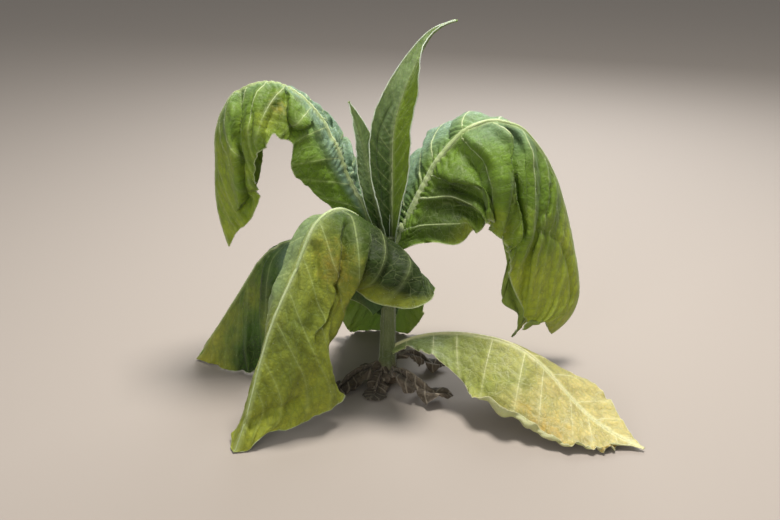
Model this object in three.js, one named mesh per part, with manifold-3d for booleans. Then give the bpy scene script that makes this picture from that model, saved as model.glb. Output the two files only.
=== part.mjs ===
// A young tobacco plant, wilted: a short stem with six limp leaves arching out of it, three young upright
// ones at its tip, and four dead ones at its foot. Each leaf is swept along its own midrib.
// Millimetres, +Z up. The origin is the middle of the stem's flat cut at ground level, and +X is the plant's
// right. Compass angles are counted from +X towards +Y.
import * as THREE from "three";
import Module from "manifold-3d";
import { mergeVertices } from "three/addons/utils/BufferGeometryUtils.js";

const wasm = await Module();
wasm.setup();

const DEG = Math.PI / 180;
const CLEAR = 0.3; // the gap between two pieces that meet
const MEET_GAP = 0.4; // the gap between the two parts of a leaf, measured along it

// The stem, from its flare at ground level to the growing tip
const STEM_HEIGHT = 178;
const STEM_RADIUS = 10.5; // above the root flare
const STEM_TIP_RADIUS = 6.5;
const ROOT_FLARE = 4.5; // extra radius at ground level
const FLARE_HEIGHT = 15;
const STEM_LEAN = 5; // how far the tip stands off the foot, towards +X
const STEM_SIDES = 18;
const STEM_RINGS = 22;

// Every leaf
const THICKNESS_SHARE = 0.0102; // a blade's thickness, as a share of its length
const LEAF_ROWS = 26; // steps from base to tip, where a leaf gives no number of its own
const HALF_COLUMNS = 4; // steps from the rib's edge to the margin
const MIDRIB_STEPS = 240; // steps of the midrib's own curve
const TIP_HALF_WIDTH = 2;
const NECK_FADE = 3; // how soon the winged neck at the stem dies away
const RIB_TAPER = 0.85; // share of its width that the midrib loses by the tip
const RIB_TAPER_POWER = 0.6;
const KEEL = 1.6; // how far the midrib stands out of the underside, in its own half-widths
const RIB_SLOPE = 1.5; // where the blade takes over from the midrib, in the same measure
const RIB_SLOPE_MOST = 0.3; // and at most this share of the way to the margin
const PLEAT_POWER = 1.3; // how a pleat deepens towards the margin
const LEAST_BEND = 1e-6; // an arc's smallest angle, so that a flat blade divides by no zero

const ROUGHNESS = 0.65;
const GROUND_SIZE = 2000; // side of the block that keeps the leaves off the ground
const SAME_POINT = 1e-4; // corners closer than this are one

const COLOURS = {
  stem: 0x7f9465,
  green: 0x4f7a2c,
  dark: 0x3d6636,
  turning: 0x8e9c35,
  yellow: 0xcdbb4e,
  dead: 0x6e6152,
};

// Value of evenly spaced stations at a share of the way along them, by a smooth curve through them
function along(stations, share) {
  const last = stations.length - 1;
  const place = Math.min(Math.max(share, 0), 1) * last;
  const i = Math.min(Math.floor(place), last - 1);
  const t = place - i;
  const at = (k) => stations[Math.min(Math.max(k, 0), last)];
  const slopeIn = (at(i + 1) - at(i - 1)) / 2;
  const slopeOut = (at(i + 2) - at(i)) / 2;
  const rise = at(i + 1) - at(i);
  return (
    at(i) +
    t * (slopeIn + t * (3 * rise - 2 * slopeIn - slopeOut + t * (slopeIn + slopeOut - 2 * rise)))
  );
}

// Where the stem's middle is, and how thick it is, at a height
function stemCentre(height) {
  const share = height / STEM_HEIGHT;
  return new THREE.Vector3(STEM_LEAN * share * share, 0, height);
}

function stemRadius(height) {
  const share = height / STEM_HEIGHT;
  const flare = ROOT_FLARE * Math.exp(-Math.pow(height / FLARE_HEIGHT, 2));
  return STEM_RADIUS + (STEM_TIP_RADIUS - STEM_RADIUS) * share + flare;
}

// A closed body from rings of points that all have the same number of points
function lofted(rings) {
  const sides = rings[0].length;
  const points = rings.flat();
  const faces = [];
  for (let r = 0; r + 1 < rings.length; r++)
    for (let k = 0; k < sides; k++) {
      const a = r * sides + k;
      const b = r * sides + ((k + 1) % sides);
      faces.push(a, b, b + sides, a, b + sides, a + sides);
    }
  const middle = (ring) =>
    ring.reduce((sum, p) => sum.add(p), new THREE.Vector3()).divideScalar(sides);
  const foot = points.push(middle(rings[0])) - 1;
  const top = points.push(middle(rings[rings.length - 1])) - 1;
  const lastRing = (rings.length - 1) * sides;
  for (let k = 0; k < sides; k++) {
    const next = (k + 1) % sides;
    faces.push(foot, next, k, top, lastRing + k, lastRing + next);
  }
  return new THREE.BufferGeometry().setFromPoints(points).setIndex(faces);
}

function stemGeometry(extra) {
  const rings = [];
  for (let r = 0; r <= STEM_RINGS; r++) {
    const height = (STEM_HEIGHT * r) / STEM_RINGS;
    const centre = stemCentre(height);
    const radius = stemRadius(height) + extra;
    const ring = [];
    for (let k = 0; k < STEM_SIDES; k++) {
      const angle = (2 * Math.PI * k) / STEM_SIDES;
      ring.push(
        new THREE.Vector3(
          centre.x + radius * Math.cos(angle),
          centre.y + radius * Math.sin(angle),
          centre.z,
        ),
      );
    }
    rings.push(ring);
  }
  return lofted(rings);
}

// The midrib as points with their own directions: ahead along it, out to its right, up out of the upper face.
// A leaf's twist turns the last two round the midrib.
function midribOf(leaf) {
  const start = leaf.foot;
  const reach = stemRadius(start) * leaf.fromAxis;
  const run = along(leaf.heading, 0) * DEG;
  const place = stemCentre(start).add(
    new THREE.Vector3(Math.cos(run), Math.sin(run), 0).multiplyScalar(reach),
  );
  const stations = [];
  for (let i = 0; i <= MIDRIB_STEPS; i++) {
    const share = i / MIDRIB_STEPS;
    const climb = along(leaf.climb, share) * DEG;
    const heading = along(leaf.heading, share) * DEG;
    const ahead = new THREE.Vector3(
      Math.cos(climb) * Math.cos(heading),
      Math.cos(climb) * Math.sin(heading),
      Math.sin(climb),
    );
    const twist = along(leaf.twist ?? [0, 0], share) * DEG;
    const right = new THREE.Vector3(Math.sin(heading), -Math.cos(heading), 0);
    right.applyAxisAngle(ahead, twist);
    const up = new THREE.Vector3().crossVectors(right, ahead);
    stations.push({ place: place.clone(), ahead, right, up });
    place.addScaledVector(ahead, leaf.length / MIDRIB_STEPS);
  }
  return stations;
}

// A stretch of the margin that stands out further than the rest
function lobeLength(lobe, share) {
  return lobe.out * Math.exp(-Math.pow((share - lobe.at) / lobe.spread, 2));
}

// How far a side vein runs to the margin: a winged neck at the stem, longest near the middle, less at the tip
function veinLength(leaf, half, share) {
  const blade = Math.pow(Math.sin(Math.PI * Math.pow(share, leaf.broadest)), leaf.fullness);
  const neck = leaf.neck * Math.pow(1 - share, NECK_FADE);
  const lobe = half.lobe ? lobeLength(half.lobe, share) : 0;
  return Math.max(half.reach * Math.hypot(blade, neck) + lobe, TIP_HALF_WIDTH);
}

// Half the midrib's own width
function ribWidth(leaf, share) {
  return leaf.rib * (1 - RIB_TAPER * Math.pow(share, RIB_TAPER_POWER));
}

// How far the blade stands off its smooth shape where its cloth gathers in pleats
function pleat(run, share, across) {
  const place = (share - run.from) / (run.to - run.from);
  if (run.side * across < 0 || place <= 0 || place >= 1) return 0;
  const wave = Math.sin(Math.PI * place) * Math.sin(2 * Math.PI * run.count * place);
  return run.depth * wave * Math.pow(Math.abs(across), PLEAT_POWER);
}

// A point of the blade's middle surface: across runs from -1 at the left margin to 1 at the right one
function bladePoint(leaf, midrib, share, across) {
  const station = midrib[Math.round(share * MIDRIB_STEPS)];
  const side = Math.sign(across) || 1;
  const out = Math.abs(across);
  const half = side > 0 ? leaf.right : leaf.left;
  const inner = along(half.inner, share) * DEG;
  const bend = along(half.outer, share) * DEG - inner || LEAST_BEND;
  const sweep = along(half.sweep, share) * DEG;
  const level = (Math.sin(inner + bend * out) - Math.sin(inner)) / bend;
  const rise = (Math.cos(inner) - Math.cos(inner + bend * out)) / bend;
  const width = veinLength(leaf, half, share);
  return station.place
    .clone()
    .addScaledVector(station.right, side * width * Math.cos(sweep) * level)
    .addScaledVector(station.up, width * Math.cos(sweep) * rise)
    .addScaledVector(station.ahead, width * Math.sin(sweep) * out);
}

// The blade's middle surface as rows of points, from the left margin to the right one
function bladeRows(leaf, midrib) {
  const rows = [];
  const steps = leaf.rows ?? LEAF_ROWS;
  const halfColumns = leaf.halfColumns ?? HALF_COLUMNS;
  for (let r = 0; r <= steps; r++) {
    const share = r / steps;
    const veins = Math.min(veinLength(leaf, leaf.left, share), veinLength(leaf, leaf.right, share));
    const ribEdge = Math.min(RIB_SLOPE_MOST, (RIB_SLOPE * ribWidth(leaf, share)) / veins);
    const columns = [0];
    for (let c = 0; c <= halfColumns; c++) columns.push(ribEdge + ((1 - ribEdge) * c) / halfColumns);
    const across = [...columns.slice(1).reverse().map((x) => -x), ...columns];
    rows.push(across.map((x) => ({ share, across: x, place: bladePoint(leaf, midrib, share, x) })));
  }
  return rows;
}

// The upper face's direction at each point of the rows
function faceDirections(rows) {
  const lastRow = rows.length - 1;
  const lastColumn = rows[0].length - 1;
  return rows.map((row, r) =>
    row.map((point, c) => {
      const ahead = new THREE.Vector3().subVectors(
        rows[Math.min(r + 1, lastRow)][c].place,
        rows[Math.max(r - 1, 0)][c].place,
      );
      const right = new THREE.Vector3().subVectors(
        row[Math.min(c + 1, lastColumn)].place,
        row[Math.max(c - 1, 0)].place,
      );
      return new THREE.Vector3().crossVectors(right, ahead).normalize();
    }),
  );
}

// A leaf's upper and lower faces as rows of points, with the midrib standing out of the underside.
// Extra is what both faces stand off the blade itself.
function leafFaces(leaf, extra) {
  const rows = bladeRows(leaf, midribOf(leaf));
  if (leaf.pleats) {
    const smooth = faceDirections(rows);
    rows.forEach((row, r) =>
      row.forEach((point, c) =>
        point.place.addScaledVector(smooth[r][c], pleat(leaf.pleats, point.share, point.across)),
      ),
    );
  }
  const facing = faceDirections(rows);
  const half = (THICKNESS_SHARE * leaf.length) / 2 + extra;
  const upper = rows.map((row, r) =>
    row.map((point, c) => point.place.clone().addScaledVector(facing[r][c], half)),
  );
  const lower = rows.map((row, r) =>
    row.map((point, c) => {
      const rib = point.across === 0 ? KEEL * ribWidth(leaf, point.share) : 0;
      return point.place.clone().addScaledVector(facing[r][c], -half - rib);
    }),
  );
  return { upper, lower };
}

// The closed slab between two rows of a leaf's faces.
// One that starts past the base starts a gap further on, clear of the slab before it.
function slabBetween({ upper, lower }, from, to) {
  const cut = (face) => {
    const rows = face.slice(from, to + 1);
    if (from === 0) return rows;
    const start = rows[0].map((point, c) => {
      const step = new THREE.Vector3().subVectors(rows[1][c], point);
      return point.clone().addScaledVector(step, MEET_GAP / step.length());
    });
    return [start, ...rows.slice(1)];
  };
  const over = cut(upper);
  const below = cut(lower);
  const columns = over[0].length;
  const points = [...over.flat(), ...below.flat()];
  const under = over.length * columns;
  const faces = [];
  const quad = (a, b, c, d) => faces.push(a, b, c, a, c, d);
  for (let r = 0; r + 1 < over.length; r++)
    for (let c = 0; c + 1 < columns; c++) {
      const a = r * columns + c;
      const b = a + 1;
      quad(a, b, b + columns, a + columns);
      quad(under + b, under + a, under + a + columns, under + b + columns);
    }
  for (let r = 0; r + 1 < over.length; r++) {
    const left = r * columns;
    const right = left + columns - 1;
    quad(left, left + columns, under + left + columns, under + left);
    quad(right, under + right, under + right + columns, right + columns);
  }
  const end = (over.length - 1) * columns;
  for (let c = 0; c + 1 < columns; c++) {
    quad(c + 1, c, under + c, under + c + 1);
    quad(end + c, end + c + 1, under + end + c + 1, under + end + c);
  }
  return new THREE.BufferGeometry().setFromPoints(points).setIndex(faces);
}

function solidOf(geometry) {
  const bare = geometry.clone();
  bare.deleteAttribute("normal");
  bare.deleteAttribute("uv");
  const merged = mergeVertices(bare, SAME_POINT);
  return new wasm.Manifold(
    new wasm.Mesh({
      numProp: 3,
      vertProperties: merged.attributes.position.array,
      triVerts: new Uint32Array(merged.index.array),
    }),
  );
}

function geometryOf(solid) {
  const mesh = solid.getMesh();
  const geometry = new THREE.BufferGeometry();
  geometry.setAttribute("position", new THREE.BufferAttribute(mesh.vertProperties, mesh.numProp));
  geometry.setIndex(new THREE.BufferAttribute(mesh.triVerts, 1));
  return geometry;
}

function largestBody(solid) {
  return solid.decompose().reduce((best, body) => (body.volume() > best.volume() ? body : best));
}

// A block whose top is just over the ground, to cut off what would reach below it
function groundBlock() {
  const block = new THREE.BoxGeometry(GROUND_SIZE, GROUND_SIZE, GROUND_SIZE);
  block.translate(0, 0, CLEAR - GROUND_SIZE / 2);
  return solidOf(block);
}

// Each leaf's sizes, and what it does at evenly spaced stations from its base to its tip, in degrees.
// foot is the height at which it leaves the stem, and fromAxis how deep in the stem its midrib starts, as a
// share of the stem's radius. climb is the midrib's slope and heading its compass angle. Each half has side
// veins that reach out to the margin: sweep turns them towards the tip, and inner and outer are their slopes
// at the midrib and at the margin. bendRow is the row at which a leaf that arches right over is parted.
const LEAVES = [
  {
    name: "right_arch_leaf",
    colour: COLOURS.green,
    length: 512,
    broadest: 1,
    fullness: 0.6,
    neck: 0.12,
    rib: 6,
    foot: 162,
    fromAxis: 0.5,
    bendRow: 12,
    climb: [65, 65, 41, -32, -64, -75, -84, -145],
    heading: [5, 10, 12, 15, 16, 13, 8, 5],
    right: {
      reach: 120,
      sweep: [20, -14, -24, 6, 20, 18, 20, 10],
      inner: [0, -20, -28, -32, -36, -42, -42, -30],
      outer: [-30, -76, -84, -92, -92, -96, -96, -70],
    },
    left: {
      reach: 100,
      sweep: [30, 5, -5, 0, 28, 30, 34, 20],
      inner: [50, 45, 25, -5, -40, -60, -65, -50],
      outer: [20, -30, -50, -60, -90, -100, -105, -90],
      lobe: { at: 0.74, spread: 0.06, out: 22 },
    },
    pleats: { side: 1, from: 0.22, to: 0.62, count: 3, depth: 10 },
  },
  {
    name: "left_arch_leaf",
    colour: COLOURS.green,
    length: 473,
    broadest: 1.15,
    fullness: 0.85,
    neck: 0.2,
    rib: 4.5,
    foot: 150,
    fromAxis: 0.4,
    bendRow: 13,
    climb: [64, 64, 67, 40, -24, -80, -90, -108],
    heading: [161, 166, 164, 169, 173, 176, 178, 174],
    right: {
      reach: 80,
      sweep: [20, 8, 0, -5, 7, 30, 35, 20],
      inner: [10, 20, 15, 0, -25, -40, -50, -40],
      outer: [-30, -20, -50, -65, -80, -80, -80, -60],
    },
    left: {
      reach: 84,
      sweep: [15, 20, 0, -15, 0, 25, 30, 15],
      inner: [-40, -45, -20, -10, -20, -25, -30, -30],
      outer: [-80, -90, -75, -65, -80, -85, -85, -70],
      lobe: { at: 0.8, spread: 0.12, out: 13 },
    },
  },
  {
    name: "front_leaf",
    colour: COLOURS.turning,
    length: 414,
    broadest: 0.85,
    fullness: 0.6,
    neck: 0.4,
    rib: 5.5,
    foot: 128,
    fromAxis: 0.4,
    bendRow: 8,
    climb: [64, 66, 20, -52, -53, -66, -68, -62],
    heading: [218, 218, 226, 232, 226, 225, 228, 218],
    right: {
      reach: 85,
      sweep: [0, 0, -8, 22, 22, 25, 24, 20],
      inner: [0, -10, -35, -45, -45, -40, -35, -30],
      outer: [-20, -50, -95, -110, -110, -110, -100, -80],
    },
    left: {
      reach: 122,
      sweep: [0, -25, -13, 30, 25, 20, 20, 20],
      inner: [20, 20, -10, -30, -35, -40, -40, -40],
      outer: [0, -20, -90, -85, -90, -85, -85, -80],
      lobe: { at: 0.68, spread: 0.1, out: 20 },
    },
  },
  {
    name: "left_rear_leaf",
    colour: COLOURS.dark,
    length: 342,
    broadest: 1.1,
    fullness: 0.9,
    neck: 0.2,
    rib: 5,
    foot: 96,
    fromAxis: 0.4,
    bendRow: 10,
    climb: [54, 42, 22, -25, -55, -58, -58, -56],
    heading: [168, 168, 165, 160, 172, 175, 178, 180],
    right: {
      reach: 80,
      sweep: [0, 20, 25, 45, 46, 45, 45, 40],
      inner: [-10, -10, -20, -20, -10, -10, -5, 0],
      outer: [-40, -40, -60, -60, -50, -40, -30, -20],
    },
    left: {
      reach: 110,
      sweep: [0, 0, -8, 15, 40, 42, 38, 20],
      inner: [-20, -10, -20, -35, -35, -40, -40, -40],
      outer: [-60, -40, -70, -95, -90, -90, -80, -80],
    },
  },
  {
    name: "rear_leaf",
    colour: COLOURS.dark,
    length: 232,
    broadest: 0.95,
    fullness: 0.8,
    neck: 0.2,
    rib: 4.5,
    foot: 78,
    fromAxis: 0.4,
    bendRow: 10,
    climb: [55, 33, 10, -33, -69, -78, -79, -77],
    heading: [92, 90, 88, 90, 95, 100, 100, 100],
    right: {
      reach: 62,
      sweep: [10, 5, 5, 20, 35, 32, 33, 20],
      inner: [20, 0, -20, -30, -20, -20, -20, -20],
      outer: [40, -25, -55, -60, -40, -30, -40, -30],
    },
    left: {
      reach: 80,
      sweep: [10, 0, 0, 20, 42, 42, 40, 20],
      inner: [20, 0, -20, -25, -10, 0, 10, 10],
      outer: [40, -15, -50, -60, -25, -10, 10, 20],
    },
  },
  {
    name: "lowest_leaf",
    colour: COLOURS.yellow,
    length: 334,
    broadest: 1.05,
    fullness: 1.2,
    neck: 0.14,
    rib: 4.5,
    foot: 40,
    fromAxis: 0.4,
    bendRow: 12,
    climb: [38, 20, 8, -5, -33, -34, -17, -6],
    heading: [-20, -20, -27, -28, -36, -40, -38, -38],
    right: {
      reach: 85,
      sweep: [20, 12, 14, 5, 33, 44, 34, 10],
      inner: [-10, -10, -20, -25, -15, 0, 0, 0],
      outer: [-40, -30, -55, -62, -42, -15, -15, -10],
    },
    left: {
      reach: 66,
      sweep: [20, 10, 10, 10, 10, 10, 10, 10],
      inner: [0, -20, -20, -20, -10, 5, 10, 10],
      outer: [-20, -70, -90, -90, -50, -10, 10, 10],
    },
  },
  {
    name: "tall_young_leaf",
    colour: COLOURS.green,
    length: 270,
    broadest: 0.72,
    fullness: 1.2,
    neck: 0.3,
    rib: 3,
    foot: 168,
    fromAxis: 0.5,
    rows: 20,
    halfColumns: 3,
    climb: [90, 90, 90, 86, 73, 67, 58, 14],
    heading: [70, 70, 70, 50, 12, 0, -5, -8],
    twist: [8, 8, 8, 26, 60, 50, 35, 20],
    right: {
      reach: 29,
      sweep: [0, 15, 20, 25, 25, 25, 20, 20],
      inner: [50, 45, 30, 25, 25, 35, 45, 50],
      outer: [70, 60, 45, 40, 40, 45, 55, 60],
    },
    left: {
      reach: 29,
      sweep: [0, 15, 20, 25, 25, 25, 20, 20],
      inner: [50, 45, 30, 25, 25, 35, 45, 50],
      outer: [70, 60, 45, 40, 40, 45, 55, 60],
    },
  },
  {
    name: "second_young_leaf",
    colour: COLOURS.green,
    length: 168,
    broadest: 0.8,
    fullness: 0.8,
    neck: 0.3,
    rib: 2,
    foot: 164,
    fromAxis: 1,
    rows: 14,
    halfColumns: 3,
    climb: [72, 76, 76, 76, 77, 75, 73, 71],
    heading: [145, 148, 152, 158, 162, 170, 175, 180],
    twist: [-50, -50, -50, -50, -50, -50, -50, -50],
    right: {
      reach: 19,
      sweep: [0, 10, 15, 20, 20, 20, 20, 20],
      inner: [40, 35, 30, 25, 25, 30, 35, 40],
      outer: [60, 55, 45, 40, 40, 45, 50, 50],
    },
    left: {
      reach: 19,
      sweep: [0, 10, 15, 20, 20, 20, 20, 20],
      inner: [40, 35, 30, 25, 25, 30, 35, 40],
      outer: [60, 55, 45, 40, 40, 45, 50, 50],
    },
  },
  {
    name: "bud_leaf",
    colour: COLOURS.green,
    length: 90,
    broadest: 0.8,
    fullness: 0.8,
    neck: 0.4,
    rib: 1.4,
    foot: 168,
    fromAxis: 1.1,
    rows: 14,
    halfColumns: 2,
    climb: [82, 81, 80, 79, 78, 78, 78, 78],
    heading: [180, 180, 180, 180, 180, 180, 180, 180],
    twist: [-40, -40, -40, -40, -40, -40, -40, -40],
    right: {
      reach: 7,
      sweep: [0, 10, 15, 20, 20, 20, 20, 20],
      inner: [40, 35, 30, 25, 25, 30, 35, 40],
      outer: [90, 90, 80, 80, 80, 80, 80, 80],
    },
    left: {
      reach: 7,
      sweep: [0, 10, 15, 20, 20, 20, 20, 20],
      inner: [40, 35, 30, 25, 25, 30, 35, 40],
      outer: [90, 90, 80, 80, 80, 80, 80, 80],
    },
  },
  {
    name: "left_dead_leaf",
    colour: COLOURS.dead,
    length: 95,
    broadest: 0.9,
    fullness: 0.6,
    neck: 0.5,
    rib: 2,
    foot: 24,
    fromAxis: 0.5,
    rows: 14,
    halfColumns: 2,
    climb: [10, 5, -10, -20, -30, -50, -60, -70],
    heading: [205, 205, 210, 215, 220, 225, 230, 235],
    right: {
      reach: 19,
      sweep: [10, 10, 10, 10, 10, 10, 10, 10],
      inner: [-10, -20, -30, -30, -30, -20, -20, -20],
      outer: [-60, -80, -80, -85, -80, -70, -60, -50],
    },
    left: {
      reach: 17,
      sweep: [10, 10, 10, 10, 10, 10, 10, 10],
      inner: [-20, -20, -30, -40, -30, -30, -20, -20],
      outer: [-60, -70, -75, -80, -90, -80, -60, -50],
    },
  },
  {
    name: "front_dead_leaf",
    colour: COLOURS.dead,
    length: 62,
    broadest: 0.9,
    fullness: 0.6,
    neck: 0.5,
    rib: 2,
    foot: 20,
    fromAxis: 0.5,
    rows: 14,
    halfColumns: 2,
    climb: [10, -5, -20, -30, -50, -50, -30, -20],
    heading: [250, 250, 250, 250, 250, 245, 240, 240],
    right: {
      reach: 17,
      sweep: [10, 10, 10, 10, 10, 10, 10, 10],
      inner: [-10, -20, -20, -20, -20, -20, -20, -20],
      outer: [-60, -80, -90, -90, -80, -70, -60, -50],
    },
    left: {
      reach: 18,
      sweep: [10, 10, 10, 10, 10, 10, 10, 10],
      inner: [-20, -20, -20, -20, -20, -20, -20, -20],
      outer: [-60, -80, -90, -90, -80, -70, -60, -50],
    },
  },
  {
    name: "right_dead_leaf",
    colour: COLOURS.dead,
    length: 100,
    broadest: 0.9,
    fullness: 0.7,
    neck: 0.4,
    rib: 2,
    foot: 18,
    fromAxis: 0.5,
    rows: 14,
    halfColumns: 2,
    climb: [30, 24, 10, -10, -22, -20, -10, -5],
    heading: [-66, -60, -50, -40, -36, -30, -25, -20],
    right: {
      reach: 22,
      sweep: [10, 15, 20, 20, 20, 20, 10, 10],
      inner: [-10, -10, -20, -20, -20, -15, -10, -10],
      outer: [-60, -70, -70, -60, -60, -50, -40, -30],
    },
    left: {
      reach: 20,
      sweep: [10, 10, 10, 10, 10, 10, 10, 10],
      inner: [-20, -20, -30, -30, -30, -30, -20, -20],
      outer: [-60, -90, -100, -100, -90, -80, -60, -50],
    },
  },
  {
    name: "rear_dead_leaf",
    colour: COLOURS.dead,
    length: 78,
    broadest: 0.9,
    fullness: 0.7,
    neck: 0.4,
    rib: 2,
    foot: 28,
    fromAxis: 0.5,
    rows: 14,
    halfColumns: 2,
    climb: [20, 12, -5, -25, -38, -36, -20, -8],
    heading: [30, 28, 25, 20, 12, 10, 5, 0],
    right: {
      reach: 16,
      sweep: [10, 15, 20, 20, 20, 20, 10, 10],
      inner: [-10, -20, -20, -20, -20, -20, -15, -10],
      outer: [-60, -80, -80, -70, -70, -60, -50, -40],
    },
    left: {
      reach: 16,
      sweep: [10, 10, 10, 10, 10, 10, 10, 10],
      inner: [-20, -20, -30, -30, -30, -30, -20, -20],
      outer: [-60, -90, -90, -90, -80, -70, -60, -50],
    },
  },
];

const plant = new THREE.Group();
const finish = (colour) =>
  new THREE.MeshStandardMaterial({ color: colour, roughness: ROUGHNESS, metalness: 0 });

function addNode(name, solid, colour) {
  const mesh = new THREE.Mesh(geometryOf(solid), finish(colour));
  mesh.name = name;
  plant.add(mesh);
}

addNode("stem", solidOf(stemGeometry(0)), COLOURS.stem);
let taken = solidOf(stemGeometry(CLEAR)).add(groundBlock());

// Each piece of a leaf is cut clear of the ones made before it
for (const leaf of LEAVES) {
  const faces = leafFaces(leaf, 0);
  const swollen = leafFaces(leaf, CLEAR);
  const tip = faces.upper.length - 1;
  const nodes = leaf.bendRow
    ? [
        [leaf.name + "_rise", 0, leaf.bendRow],
        [leaf.name + "_fall", leaf.bendRow, tip],
      ]
    : [[leaf.name, 0, tip]];
  for (const [name, from, to] of nodes) {
    const slab = solidOf(slabBetween(faces, from, to));
    addNode(name, largestBody(slab.subtract(taken)), leaf.colour);
    taken = taken.add(slab).add(solidOf(slabBetween(swollen, from, to)));
  }
}

export default plant;
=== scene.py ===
# %% [markdown]
# # A wilted tobacco plant
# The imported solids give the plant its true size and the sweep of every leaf. This lesson dresses them. Each
# leaf becomes a thin blade with its veins, billows, folds and ruffled margin, and the stem gets its ridges.
# The rule that made the solids is written again here and carried to finer detail, so both have one shape.
# Positions are worked out in millimetres with numpy arrays, which is quick for large meshes, and turned into
# metres when a mesh is made.

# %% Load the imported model
import functools
import math

import bmesh
import bpy
import numpy as np
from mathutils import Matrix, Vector


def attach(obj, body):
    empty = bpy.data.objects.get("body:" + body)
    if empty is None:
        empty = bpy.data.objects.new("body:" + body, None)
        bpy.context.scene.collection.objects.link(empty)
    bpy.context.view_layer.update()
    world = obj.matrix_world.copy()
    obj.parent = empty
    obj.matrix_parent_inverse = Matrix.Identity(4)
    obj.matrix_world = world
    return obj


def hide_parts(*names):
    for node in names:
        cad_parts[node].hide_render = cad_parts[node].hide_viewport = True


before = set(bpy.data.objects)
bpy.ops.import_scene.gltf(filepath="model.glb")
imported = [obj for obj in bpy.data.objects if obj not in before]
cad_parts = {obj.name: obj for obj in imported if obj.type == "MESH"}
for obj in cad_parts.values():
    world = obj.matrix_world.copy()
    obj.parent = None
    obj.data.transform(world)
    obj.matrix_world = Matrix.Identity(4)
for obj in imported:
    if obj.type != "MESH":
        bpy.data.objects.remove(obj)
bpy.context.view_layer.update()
scene = bpy.context.scene
MM = 0.001

# %% [markdown]
# ## Camera, floor and light
# The photo looks down on the plant by 22 degrees from a little over a metre away. The floor is a wide pale
# sheet. The sun stood high, so the main light is a small soft one, almost straight above and a little to the
# right. A cooler one behind makes the crests of the leaves shine, and a faint one in front keeps the hanging
# folds readable. A picture of a sky could light the scene too, but three lamps are easier to place.

# %% Camera
CAMERA_TARGET = Vector((0.003, 0, 0.150))
CAMERA_DISTANCE = 1.213
CAMERA_ELEVATION = math.radians(22)
LENS_MM = 50
SENSOR_MM = 36


def in_scene(name, data):
    """An object with the given mesh, lamp or camera, linked into the scene."""
    obj = bpy.data.objects.new(name, data)
    scene.collection.objects.link(obj)
    return obj


back = Vector((0, -math.cos(CAMERA_ELEVATION), math.sin(CAMERA_ELEVATION)))
camera = in_scene("camera", bpy.data.cameras.new("camera"))
camera.data.lens = LENS_MM
camera.data.sensor_width = SENSOR_MM
camera.location = CAMERA_TARGET + back * CAMERA_DISTANCE
camera.rotation_euler = (-back).to_track_quat("-Z", "Y").to_euler()
scene.camera = camera
print("camera at", [round(v, 3) for v in camera.location])

# %% Floor and lights
FLOOR_SIZE = 12
FLOOR_COLOUR = (0.38, 0.33, 0.29, 1)
FLOOR_ROUGHNESS = 0.9
SKY_COLOUR = (0.90, 0.92, 0.92, 1)
SKY_STRENGTH = 0.34
# Each light's place, size, power and colour.
LIGHTS = {
    "high_light": ((0.22, 0.06, 1.65), 0.45, 33, (1.0, 0.97, 0.92)),
    "back_light": ((0.35, 1.2, 1.0), 0.8, 13, (0.92, 0.96, 1.0)),
    "front_light": ((-0.8, -1.7, 0.7), 0.8, 11, (1.0, 0.98, 0.95)),
}


def soft_light(name, place, size, power, colour):
    """A square area light that points at the middle of the plant."""
    data = bpy.data.lights.new(name, "AREA")
    data.shape = "SQUARE"
    data.size = size
    data.energy = power
    data.color = colour
    light = in_scene(name, data)
    light.location = place
    light.rotation_euler = (CAMERA_TARGET - Vector(place)).to_track_quat("-Z", "Y").to_euler()


def floor_mesh(size):
    """One flat square round the origin."""
    reach = size / 2
    mesh = bpy.data.meshes.new("floor")
    corners = [(-reach, -reach, 0), (reach, -reach, 0), (reach, reach, 0), (-reach, reach, 0)]
    mesh.from_pydata(corners, [], [(0, 1, 2, 3)])
    return mesh


floor = in_scene("floor", floor_mesh(FLOOR_SIZE))
floor_finish = bpy.data.materials.new("pale_floor")
floor_finish.use_nodes = True
floor_shader = floor_finish.node_tree.nodes["Principled BSDF"]
floor_shader.inputs["Base Color"].default_value = FLOOR_COLOUR
floor_shader.inputs["Roughness"].default_value = FLOOR_ROUGHNESS
floor.data.materials.append(floor_finish)

world = bpy.data.worlds.new("sky")
world.use_nodes = True
sky = world.node_tree.nodes["Background"]
sky.inputs["Color"].default_value = SKY_COLOUR
sky.inputs["Strength"].default_value = SKY_STRENGTH
scene.world = world
scene.view_settings.view_transform = "Standard"
for name, settings in LIGHTS.items():
    soft_light(name, *settings)
print("lights", list(LIGHTS))

# %% [markdown]
# ## The rule of a leaf
# A leaf is swept along its own midrib. Eight evenly spaced stations say how steeply the midrib climbs, where
# it heads and how far it has twisted. The side veins run out from it in arcs, and the margin is where they
# end. These are the stations that the solids have. A drawn outline bent by a cloth simulation would droop
# too, but it would not land where the photo shows each fold, and a swept leaf does.

# %% Stem and leaf sizes, in millimetres
STEM_HEIGHT = 178
STEM_RADIUS = 10.5
STEM_TIP_RADIUS = 6.5
ROOT_FLARE = 4.5
FLARE_HEIGHT = 15
STEM_LEAN = 5

TIP_HALF_WIDTH = 2
NECK_FADE = 3
RIB_TAPER = 0.85
RIB_TAPER_POWER = 0.6
RIB_FLARE_REACH = 0.2
print("stem", STEM_HEIGHT, "mm high and", 2 * STEM_RADIUS, "mm thick")


# %% How a leaf is written down
def half(reach, sweep, inner, outer, **more):
    """One half of a blade: its longest side vein in millimetres, and at the stations how far the side veins
    sweep forward and how they droop beside the midrib and at the margin, in degrees."""
    return dict(reach=reach, sweep=sweep, inner=inner, outer=outer, **more)


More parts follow.
